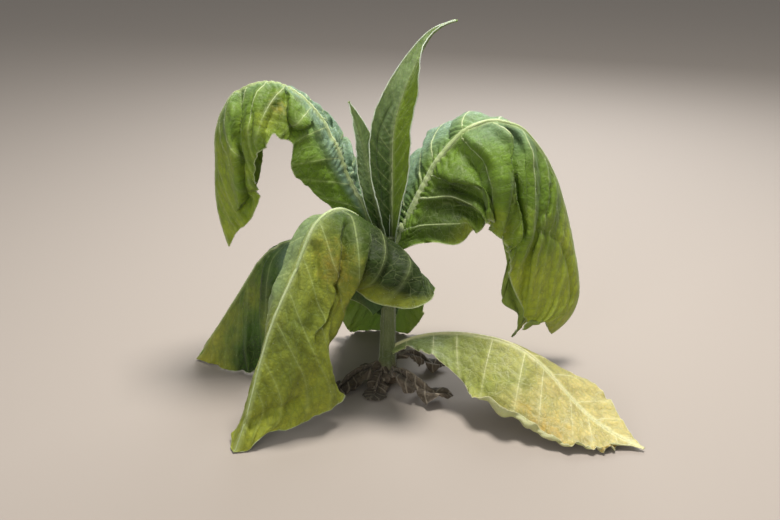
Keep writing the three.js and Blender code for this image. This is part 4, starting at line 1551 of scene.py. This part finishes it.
# %% The left arching leaf
LOOKS["left_arch_leaf"] = dict(
    finish="arched", seed=23, flare=0.5, cell_mm=15, blister=0.6, crumple=1.8, wrinkle=0.45, ruffle=2.0,
    rim=0.35, vein_width=[0.3, 0.25, 0.3, 0.7, 0.8, 0.5, 0.3, 0.1], vein_sink=0.15, rib_kink=0.35, fade=0.3,
    gather_reach=17, gather=[0.5, 1.8, 2.4, 2.4, 1.0, 0.2, 0, 0],
    right_looks=dict(
        vein_at=[0.07, 0.14, 0.21, 0.28, 0.35, 0.42, 0.49, 0.56, 0.63, 0.71, 0.79, 0.87, 0.94],
        forward=[0.05, 0.08, 0.10, 0.10, 0.12, 0.15, 0.15, 0.12],
        ridge=[2, 7, 10, 9, 8, 5, 3, 2],
    ),
    left_looks=dict(
        vein_at=[0.06, 0.13, 0.2, 0.27, 0.34, 0.41, 0.47, 0.53, 0.565, 0.61, 0.68, 0.76, 0.84, 0.92],
        forward=[0.05, 0.05, 0.05, 0.05, 0.10, 0.12, 0.12, 0.1],
        ridge=[1, 1.5, 3, 6, 7, 4, 3, 2],
        gather=[0.5, 1.2, 1.8, 2.0, 1.0, 0.2, 0, 0],
    ),
    folds=[
        ([(0.15, 0.3), (0.25, 0.25), (0.35, 0.3), (0.45, 0.2)], -5, 4, 5),
        ([(0.12, -0.3), (0.22, -0.28), (0.32, -0.34), (0.4, -0.3)], -4, 8, 3),
    ],
    laps=[
        (
            [(0.59, 0.02), (0.605, -0.2), (0.62, -0.42), (0.69, -0.69), (0.79, -0.74), (0.85, -0.72)],
            9, 11, 12, 1,
        ),
        ([(0.80, -0.72), (0.77, -0.85), (0.73, -0.95), (0.7, -1.1)], 3, 5, 10, -1),
        (
            [(0.475, -0.04), (0.458, -0.3), (0.437, -0.6), (0.41, -0.63), (0.393, -0.46), (0.38, -0.25)],
            9, 8, 9, -1,
        ),
        ([(0.54, -0.05), (0.55, -0.4), (0.565, -0.72), (0.575, -1.0)], 3, 3, 8, -1),
        ([(0.2, 0.05), (0.26, 0.4), (0.3, 0.9)], 6, 5, 11, 1),
        ([(0.3, 0.05), (0.36, 0.4), (0.42, 0.9)], 6, 5, 11, 1),
        ([(0.48, 0.05), (0.52, 0.4), (0.6, 0.8), (0.7, 1.1)], 7, 5, 12, 1),
    ],
    tints=[
        field([-0.3, -0.3, -0.1, 0.1, 0.22, 0.4, 0.5, 0.6], 0.1, [(-1, 0.49, 0.7, 0.05, 0.35, 0.35)]),
        # The second field: a bluer reflection of the sky, painted on the right half and by the midrib, and
        # painted shade below zero on the left half, near the base and over the yellow patch.
        field(
            [0.1, 0.1, 0.1, 0.1, 0.1, 0.05, 0, 0],
            0,
            [
                (1, 0.3, 0.3, 0.3, 0.6, 0.9),
                (-1, 0.28, 0.05, 0.2, 0.16, 0.9),
                (-1, 0.12, 0.6, 0.16, 0.4, -0.6),
                (-1, 0.49, 0.55, 0.06, 0.4, -1.1),
            ],
        ),
        field([0, 0, 0, 0, 0, 0, 0.05, 0.2], 0, [(-1, 0.485, 0.45, 0.045, 0.35, 0.48)]),
    ],
)

# %% The front leaf
LOOKS["front_leaf"] = dict(
    finish="turning", seed=37, flare=0.5, cell_mm=17, blister=0.5, crumple=1.7, wrinkle=0.5, ruffle=1.8,
    rim=0.35, vein_width=[0.35, 0.35, 0.35, 0.3, 0.2, 0.12, 0.06, 0.05], vein_sink=0.5, fade=0.3,
    gather_reach=10, gather=[0, 0.6, 0.8, 0.6, 0.2, 0, 0, 0],
    right_looks=dict(
        vein_at=[0.07, 0.15, 0.23, 0.32, 0.41, 0.5, 0.59, 0.68, 0.77, 0.86, 0.93],
        forward=[0.05, 0.08, 0.12, 0.15, 0.18, 0.2, 0.2, 0.15],
        ridge=[1, 2, 2, 2, 2, 2, 2, 2],
        gather=[0, 0],
    ),
    left_looks=dict(
        vein_at=[0.06, 0.13, 0.21, 0.293, 0.38, 0.47, 0.56, 0.65, 0.74, 0.83, 0.91],
        forward=[0.08, 0.12, 0.15, 0.18, 0.22, 0.22, 0.2, 0.15],
        ridge=[2, 5, 8, 5, 3, 3, 3, 2],
    ),
    folds=[
        ([(0.41, -0.08), (0.46, -0.20), (0.52, -0.3), (0.62, -0.36)], -5, 5, 8),
        ([(0.2, 0.09), (0.34, 0.11), (0.48, 0.11), (0.64, 0.08)], -3, 2.5, 3),
        ([(0.22, 0.3), (0.34, 0.26), (0.46, 0.27), (0.6, 0.2)], 3, 4, 4),
        ([(0.3, 0.42), (0.42, 0.45), (0.54, 0.4)], -2.5, 3, 3),
        ([(0.5, 0.0), (0.56, -0.1), (0.63, -0.14)], -2, 2.5, 2),
        ([(0.5, -0.3), (0.6, -0.45), (0.7, -0.55), (0.82, -0.62)], -4, 10, 9),
        ([(0.78, -0.7), (0.86, -0.4), (0.93, -0.2)], -7, 6, 6),
        ([(0.44, -0.56), (0.515, -0.54), (0.56, -0.64), (0.6, -0.76), (0.67, -0.86)], -4, 6, 4),
        ([(0.6, -0.22), (0.69, -0.31), (0.77, -0.4), (0.85, -0.54)], 4, 5, 9),
        ([(0.45, -0.35), (0.455, -0.47), (0.465, -0.56)], -3.5, 3, 4),
    ],
    laps=[
        (
            [
                (0.25, -0.02), (0.28, -0.2), (0.305, -0.4), (0.355, -0.56), (0.43, -0.66),
                (0.52, -0.85), (0.57, -1.1),
            ],
            11, 7, 20, 1,
        ),
        (
            [(0.32, -0.1), (0.36, -0.22), (0.395, -0.33), (0.45, -0.40), (0.53, -0.43), (0.6, -0.4)],
            9, 8, 9, 1,
        ),
        ([(0.12, -0.1), (0.16, -0.5), (0.2, -0.95)], 4, 4, 12, 1),
    ],
    tints=[
        field(
            [0, 0, 0.15, 0.62, 0.6, 0.6, 0.62, 0.8],
            0.2,
            [
                (-1, 0.2, 0.6, 0.1, 0.4, -0.5),
                (1, 0.42, 0.3, 0.2, 0.25, -0.6),
                (-1, 0.45, 0.1, 0.12, 0.3, 0.07),
                (-1, 0.6, 0.25, 0.2, 0.2, -0.16),
                (-1, 0.24, 1.0, 0.09, 0.18, 0.46),
            ],
        ),
        # The second field: a bluer reflection of the sky painted on the right half, and painted shade below
        # zero on the left half near the base, under the young leaves.
        field([0, 0], 0, [(1, 0.45, 0.3, 0.22, 0.35, 1.3), (-1, 0.23, 0.65, 0.1, 0.55, -1.2)]),
        field([0, 0, 0.05, 0.15, 0.05, 0, 0.05, 0.3], 0, [(-1, 0.42, 0.35, 0.06, 0.25, 0.6)]),
    ],
)

# %% The left rear leaf
LOOKS["left_rear_leaf"] = dict(
    finish="shaded", seed=41, flare=0.5, cell_mm=16, blister=0.5, crumple=1.7, wrinkle=0.35, ruffle=1.8,
    rim=0.3, vein_width=[0.4, 0.35, 0.3, 0.2, 0.12, 0.06, 0.05, 0.05],
    gather_reach=9, gather=[0.6, 0.6, 0.5, 0.2, 0, 0, 0, 0],
    right_looks=dict(
        vein_at=[0.08, 0.17, 0.26, 0.35, 0.44, 0.53, 0.62, 0.71, 0.8, 0.89],
        forward=[0.05, 0.08, 0.1, 0.12, 0.15, 0.15, 0.15, 0.1],
        ridge=[2, 5, 7, 6, 5, 4, 3, 2],
    ),
    left_looks=dict(
        vein_at=[0.06, 0.14, 0.23, 0.32, 0.41, 0.5, 0.59, 0.68, 0.77, 0.86],
        forward=[0.03, 0.05, 0.08, 0.1, 0.12, 0.12, 0.1, 0.1],
        ridge=[2, 5, 9, 9, 6, 4, 3, 2],
    ),
    folds=[
        ([(0.54, -0.05), (0.637, -0.22), (0.671, -0.74), (0.7, -1.0)], 5, 9, 6),
        ([(0.445, 0.0), (0.469, -0.17), (0.501, -0.41), (0.531, -0.66), (0.56, -0.95)], -6, 4, 7),
    ],
    laps=[
        ([(0.45, -0.02), (0.475, -0.25), (0.513, -0.5), (0.561, -0.81), (0.6, -1.15)], 9, 8, 16, -1),
        ([(0.25, 0.05), (0.32, 0.5), (0.4, 0.95)], 6, 5, 12, 1),
        ([(0.45, 0.05), (0.52, 0.5), (0.6, 0.95)], 6, 5, 12, 1),
    ],
    tints=[
        # On the left half, where the front leaf shades it, the yellow is taken away and the second field
        # paints shade below zero. Near the base the second field paints a bluer reflection of the sky.
        field([0, 0, 0, 0.1, 0.35, 0.5, 0.6, 0.85], 0.3, [(-1, 0.68, 1.0, 0.12, 0.4, -1.0)]),
        field(
            [0.3, 0.5, 0.5, 0.2, 0, 0, 0, 0],
            0,
            [
                (-1, 0.38, 0.3, 0.06, 0.6, 1.1),
                (-1, 0.46, 0.45, 0.06, 0.4, -1.0),
                (-1, 0.68, 1.0, 0.12, 0.35, -1.6),
            ],
        ),
        field([0, 0, 0, 0, 0, 0.05, 0.1, 0.2], 0.05),
    ],
)

# %% The rear and lowest leaves
LOOKS["rear_leaf"] = dict(
    finish="shaded", seed=53, flare=0.5, cell_mm=14, blister=0.5, crumple=1.4, wrinkle=0.35, ruffle=3.2,
    rim=0.3, vein_width=[0.5, 0.5, 0.4, 0.3, 0.2, 0.1, 0.05, 0.05], frill=1.0, thickness=0.8,
    gather_reach=9, gather=[0.5, 0.5, 0.4, 0, 0, 0, 0, 0],
    right_looks=dict(
        vein_at=[0.1, 0.22, 0.34, 0.46, 0.58, 0.7, 0.82, 0.92],
        forward=[0.05, 0.08, 0.1, 0.12, 0.15, 0.15, 0.15, 0.1],
        ridge=[1, 4, 6, 6, 5, 4, 3, 2],
    ),
    left_looks=dict(
        vein_at=[0.07, 0.16, 0.28, 0.4, 0.52, 0.64, 0.76, 0.88],
        forward=[0.05, 0.08, 0.1, 0.12, 0.15, 0.15, 0.15, 0.1],
        ridge=[1, 4, 6, 6, 5, 4, 3, 2],
    ),
    tints=[
        field([0, 0, 0, 0.15, 0.35, 0.45, 0.5, 0.6], 0.3, [(1, 0.7, 0.7, 0.15, 0.5, 0.6)]),
        field([0.3, 0.3, 0.2, 0, 0, 0, 0, 0]),
        field([0, 0, 0, 0, 0, 0, 0.1, 0.2]),
    ],
)
LOOKS["lowest_leaf"] = dict(
    finish="yellow", seed=61, cell_mm=14, blister=0.5, crumple=0.9, wrinkle=0.25, ruffle=4.0,
    rim=0.3, vein_width=[0.66, 0.6, 0.5, 0.42, 0.34, 0.22, 0.12, 0.05], vein_sink=0.2, fade=0.1, frill=1.2,
    thickness=0.8, gather_reach=7, gather=[0.4, 0.4, 0, 0, 0, 0, 0, 0],
    right_looks=dict(
        vein_at=[0.08, 0.17, 0.267, 0.393, 0.507, 0.595, 0.705, 0.8, 0.89],
        forward=[0, 0, 0.01, 0.02, 0.02, 0, 0.02, 0.03],
        ridge=[1, 2, 2.5, 2.5, 2, 2, 2, 1],
    ),
    left_looks=dict(
        vein_at=[0.1, 0.2, 0.31, 0.42, 0.53, 0.63, 0.73, 0.83, 0.91],
        forward=[0.02, 0.03, 0.04, 0.05, 0.06, 0.06, 0.05, 0.05],
        ridge=[1, 2, 3, 3, 2, 2, 2, 1],
        ruffle=0.8,
    ),
    tints=[
        field([-0.3, -0.1, 0.15, 0.35, 0.6, 0.9, 1.0, 1.0], 0.1),
        field([1, 0.9, 0.3, 0, 0, 0, 0, 0], 0, [(1, 0.7, 1.0, 0.2, 0.08, 0.9)]),
        field(
            [0, 0, 0.05, 0.15, 0.25, 0.2, 0.25, 0.4],
            0.1,
            [(1, 0.62, 0.75, 0.1, 0.25, 0.45), (1, 0.88, 1.0, 0.1, 0.1, 0.9)],
        ),
    ],
)

# %% The young leaves
LOOKS["tall_young_leaf"] = dict(
    finish="young", seed=71, cell_mm=9, blister=0.25, crumple=0.4, wrinkle=0.15, ruffle=0.5,
    rim=0.6, vein_width=[0.06, 0.03], thickness=0.8,
    gather_reach=16, gather=[0, 0.1, 0.45, 0.45, 0.35, 0.1, 0, 0],
    right_looks=dict(vein_at=evenly(0.06, 0.94, 15), forward=[0.1, 0.1], ridge=[0.3, 0.3], gather=[0, 0]),
    left_looks=dict(vein_at=evenly(0.08, 0.95, 15), forward=[0.08, 0.08], ridge=[0.8, 0.8]),
    folds=[
        (
            [(0.14, -0.6), (0.25, -0.5), (0.33, -0.6), (0.42, -0.6), (0.51, -0.46), (0.6, -0.24)],
            -2.2, 2.2, 1.4,
        ),
    ],
    tints=[
        # The right half's yellow is a painted glow of light through the blade, and the left half's bluer tint
        # is a painted reflection of the sky.
        lambda share, across: (across > 0) * (0.75 + 0.4 * share),
        lambda share, across: (across < 0) * (0.05 + 1.9 * share**2.6),
        NO_TINT,
    ],
)
LOOKS["second_young_leaf"] = dict(
    finish="young", seed=73, cell_mm=8, blister=0.3, crumple=0.4, wrinkle=0.15, ruffle=0.4,
    rim=0.4, vein_width=[0.1, 0.05], thickness=0.7,
    gather_reach=8, gather=[0, 0.2, 0.3, 0.2, 0, 0, 0, 0],
    right_looks=dict(vein_at=evenly(0.08, 0.92, 11), forward=[0.1, 0.1], ridge=[0.6, 0.6]),
    left_looks=dict(vein_at=evenly(0.1, 0.94, 11), forward=[0.1, 0.1], ridge=[0.6, 0.6]),
    # The second field paints shade at the base, below zero, and a bluer reflection of the sky above it.
    tints=[field([0, 0.1]), field([-1, -0.4, 0.3, 0.35, 0.4, 0.4]), NO_TINT],
)
LOOKS["bud_leaf"] = dict(
    finish="young", seed=79, cell_mm=6, blister=0.2, crumple=0.2, wrinkle=0.1, ruffle=0.2,
    rim=0.3, vein_width=[0.1, 0.05], thickness=0.6,
    gather_reach=5, gather=[0, 0],
    right_looks=dict(vein_at=evenly(0.1, 0.9, 9), forward=[0.1, 0.1], ridge=[0.3, 0.3]),
    left_looks=dict(vein_at=evenly(0.12, 0.92, 9), forward=[0.1, 0.1], ridge=[0.3, 0.3]),
    tints=[NO_TINT, field([0.4, 0.6]), NO_TINT],
)


# %% The dead leaves
def dead_look(seed):
    """A crumpled dry leaf: each dead leaf has the same look with its own seed."""
    return dict(
        finish="dead", seed=seed, cell_mm=7, blister=0.4, crumple=3.0, wrinkle=0.6, ruffle=4.5, rim=0.18,
        vein_width=[0.25, 0.1], thickness=0.4,
        gather_reach=8, gather=[0.4, 0.4],
        right_looks=dict(
            vein_at=evenly(0.12, 0.9, 7),
            forward=[0.1, 0.1],
            ridge=[1.5, 1.5],
            lobes=[(0.25, 0.05, -6), (0.42, 0.06, 5), (0.58, 0.04, -7), (0.72, 0.06, 6), (0.86, 0.04, -4)],
        ),
        left_looks=dict(
            vein_at=evenly(0.16, 0.92, 7),
            forward=[0.1, 0.1],
            ridge=[1.5, 1.5],
            lobes=[(0.2, 0.06, 5), (0.36, 0.04, -7), (0.52, 0.06, 5), (0.66, 0.04, -6), (0.8, 0.05, 5)],
        ),
        folds=[
            ([(0.1, 0.15), (0.4, 0.3), (0.7, 0.25), (0.98, 0.05)], -4.5, 3, 2),
            ([(0.15, 0.5), (0.45, 0.65), (0.75, 0.55), (0.98, 0.15)], 4, 2.5, 3.5),
            ([(0.1, -0.15), (0.4, -0.35), (0.7, -0.2), (0.98, -0.05)], -4.5, 2, 3),
            ([(0.15, -0.55), (0.45, -0.7), (0.75, -0.6), (0.98, -0.15)], 4, 3.5, 2.5),
        ],
        tints=[NO_TINT, NO_TINT, NO_TINT],
    )


# %% Giving every leaf its looks
USUAL = dict(thickness=0.9, flare=0, vein_sink=0.35, frill=0.6, rib_kink=0.2, fade=0.65)
ROW_MM = {"arched": 1.8, "turning": 1.7, "shaded": 1.7, "yellow": 1.6, "young": 1.0, "dead": 0.7}
HALF_COLUMNS = {"arched": 80, "turning": 94, "shaded": 76, "yellow": 70, "young": 34, "dead": 28}
RIB_FINISHES = {"yellow": "yellow_rib", "dead": "dead_rib"}
DEAD_SEED = 100
VEIN_STRAY = 0.009
STRAY_STEP = 2.7
for order, (name, form) in enumerate(LEAVES.items()):
    form.update({**USUAL, **(LOOKS.get(name) or dead_look(DEAD_SEED + order))})
    form["slot"] = form["finish"] + "_leaf"
    form["rib_finish"] = RIB_FINISHES.get(form["finish"], "rib")
    form["right"].update(form.pop("right_looks"))
    form["left"].update(form.pop("left_looks"))
    for side in (form["right"], form["left"]):
        stray = VEIN_STRAY * np.sin(STRAY_STEP * np.arange(len(side["vein_at"])) + form["seed"])
        side["vein_at"] = (np.array(side["vein_at"]) + stray).tolist()
    form["rows"] = round(form["length"] / ROW_MM[form["finish"]])
    form["half_columns"] = HALF_COLUMNS[form["finish"]]
    print(name, form["rows"], "rows,", 2 * form["half_columns"] + 1, "columns")

# %% [markdown]
# ## Growing the leaves
# Every leaf is a blade and a set of ribs. On the plant they are one body, but as two pieces each keeps its
# own finish. The blade stands for the solids of the same leaf, which are hidden. One blade that is copied
# and bent for every leaf would be quicker to make, but no two leaves of this plant have wilted alike.

# %% Blades and ribs
RIB_SECTION = dict(Thickness=1.0, Sides=10)
blades, ribs, young_rims = {}, {}, []
for name, form in LEAVES.items():
    blade = make_blade(name + "_blade", form)
    blade.data.materials.append(FINISHES[form["finish"]])
    young = form["finish"] == "young"
    lines = line_object(name + "_lines", vein_lines(form) + ([] if young else rim_lines(form)))
    young_rims += rim_lines(form) if young else []
    rib = grown(name + "_veins", lines, RIBS, **RIB_SECTION, Finish=FINISHES[form["rib_finish"]])
    print(rib.name, "faces", len(rib.data.polygons))
    nodes = [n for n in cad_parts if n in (name, name + "_rise", name + "_fall")]
    for piece in (blade, rib):
        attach(piece, "root")
    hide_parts(*nodes)
    blades[name], ribs[name] = blade, rib
rims = line_object("young_lines", young_rims)
margins = grown("young_margins", rims, RIBS, **RIB_SECTION, Finish=FINISHES["margin"])
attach(margins, "root")

# %% [markdown]
# ## The stem
# The stem is one round body with shallow lengthwise ridges that run down from the leaf bases, a swelling at
# each leaf, and a flare at the root. It is a grid wrapped round the same centre line as its solid. A plain
# cylinder could be sculpted to the same end, but the rule puts each swelling exactly where its leaf starts.

# %% Stem
STEM_SIDES = 120
STEM_ROWS = 220
RIDGES = 9
RIDGE_DEPTH = 0.45
RIDGE_TWIST = 0.02
RIDGE_START = 20
SKIN_DEPTH = 0.5
SKIN_SIZE = 14
SKIN_START = 8
SKIN_SEED = 3
SCAR_SWELL = 1.3
SCAR_REACH = 6
SCAR_TURN = 0.7


def stem_points():
    """Rings of points from the ground up, with ridges, an uneven skin and a swelling at each leaf."""
    height = np.linspace(0, STEM_HEIGHT, STEM_ROWS + 1)[:, None]
    angle = np.linspace(0, 2 * np.pi, STEM_SIDES, endpoint=False)[None, :]
    radius = stem_radius(height) - RIDGE_DEPTH + 0 * angle
    ridge = RIDGE_DEPTH * np.sin(RIDGES * angle + RIDGE_TWIST * height)
    radius = radius + ridge * smooth_step(0, RIDGE_START, height)
    skin = SKIN_DEPTH * crumple(height / SKIN_SIZE, 3 * np.sin(angle) + 5, SKIN_SEED)
    radius = radius + skin * smooth_step(0, SKIN_START, height)
    for form in LEAVES.values():
        start = np.radians(form["heading"][0])
        turn = np.angle(np.exp(1j * (angle - start)))
        swell = np.exp(-(((height - form["foot"]) / SCAR_REACH) ** 2) - (turn / SCAR_TURN) ** 2)
        radius = radius + SCAR_SWELL * swell
    centre = stem_centre(height[:, 0])
    ring = np.stack([np.cos(angle) * radius, np.sin(angle) * radius, 0 * radius], -1)
    return centre[:, None] + ring


def ring_faces(rows, sides):
    """Faces of four corners between the rings of a tube."""
    r, c = np.meshgrid(np.arange(rows - 1), np.arange(sides), indexing="ij")
    a, b = (r * sides + c).ravel(), (r * sides + (c + 1) % sides).ravel()
    return np.stack([a, b, b + sides, a + sides], -1)


def stem_object():
    """The stem as a mesh of rings with its two ends filled."""
    points = stem_points()
    obj = mesh_object("stem_body", points.reshape(-1, 3), ring_faces(*points.shape[:2]))
    shell = bmesh.new()
    shell.from_mesh(obj.data)
    bmesh.ops.holes_fill(shell, edges=[e for e in shell.edges if e.is_boundary], sides=0)
    bmesh.ops.recalc_face_normals(shell, faces=shell.faces)
    shell.to_mesh(obj.data)
    shell.free()
    return obj


stem = stem_object()
stem.data.materials.append(FINISHES["stem"])
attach(stem, "root")
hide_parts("stem")
print("stem faces", len(stem.data.polygons))

# %% [markdown]
# ## Down
# Tobacco is covered in short sticky hairs. They show most along the midribs, the stem and the margins, where
# the light catches them. A fuzzy finish alone would give the sheen but no bristles against the light. So the
# surfaces are copied, told how thickly they are haired, and the tree grows the hairs on them.

# %% Hairs
HAIR_DENSITY = 1.1e6
HAIR_LENGTH = 0.0011
HAIR_RADIUS = 0.00006
BARE_FOOT = 0.002
RIB_DOWN = 0.5
MARGIN_FROM = 0.985
MARGIN_DOWN = 1.2
BLADE_DOWN = 0.012


def vectors_of(items, label, kind=np.float32):
    """The three numbers that each item of a mesh keeps under a label."""
    values = np.zeros(len(items) * 3, kind)
    items.foreach_get(label, values)
    return values.reshape(-1, 3)


def hair_source(name, objects, weight):
    """One mesh of the given objects, with how downy each point is."""
    points, faces, down = [], [], []
    start = 0
    for obj in objects:
        mesh = obj.data
        mesh.calc_loop_triangles()
        points.append(vectors_of(mesh.vertices, "co"))
        faces.append(vectors_of(mesh.loop_triangles, "vertices", np.int32) + start)
        down.append(weight(obj))
        start += len(mesh.vertices)
    mesh = bpy.data.meshes.new(name)
    mesh.from_pydata(np.vstack(points).tolist(), [], np.vstack(faces).tolist())
    layer = mesh.attributes.new("down", "FLOAT", "POINT")
    layer.data.foreach_set("value", np.concatenate(down).astype(np.float32))
    return in_scene(name, mesh)


def even(obj):
    """The same down all over, except close to the ground."""
    return np.where(vectors_of(obj.data.vertices, "co")[:, 2] > BARE_FOOT, RIB_DOWN, 0)


def at_margin(obj):
    """Thick down at the margins and next to none on the blade."""
    across = np.abs(vectors_of(obj.data.attributes["place"].data, "vector")[:, 1])
    return np.where(across > MARGIN_FROM, MARGIN_DOWN, BLADE_DOWN)


live = [n for n in LEAVES if "dead" not in n]
hairy = {
    "rib_down": hair_source("rib_down_source", [stem] + [ribs[n] for n in live], even),
    "margin_down": hair_source("margin_down_source", [blades[n] for n in live], at_margin),
}
for name, source in hairy.items():
    inputs = dict(Density=HAIR_DENSITY, Length=HAIR_LENGTH, Radius=HAIR_RADIUS, Finish=FINISHES["hair"])
    down = grown(name, source, HAIRS, **inputs)
    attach(down, "root")
    print(name, "faces", len(down.data.polygons))
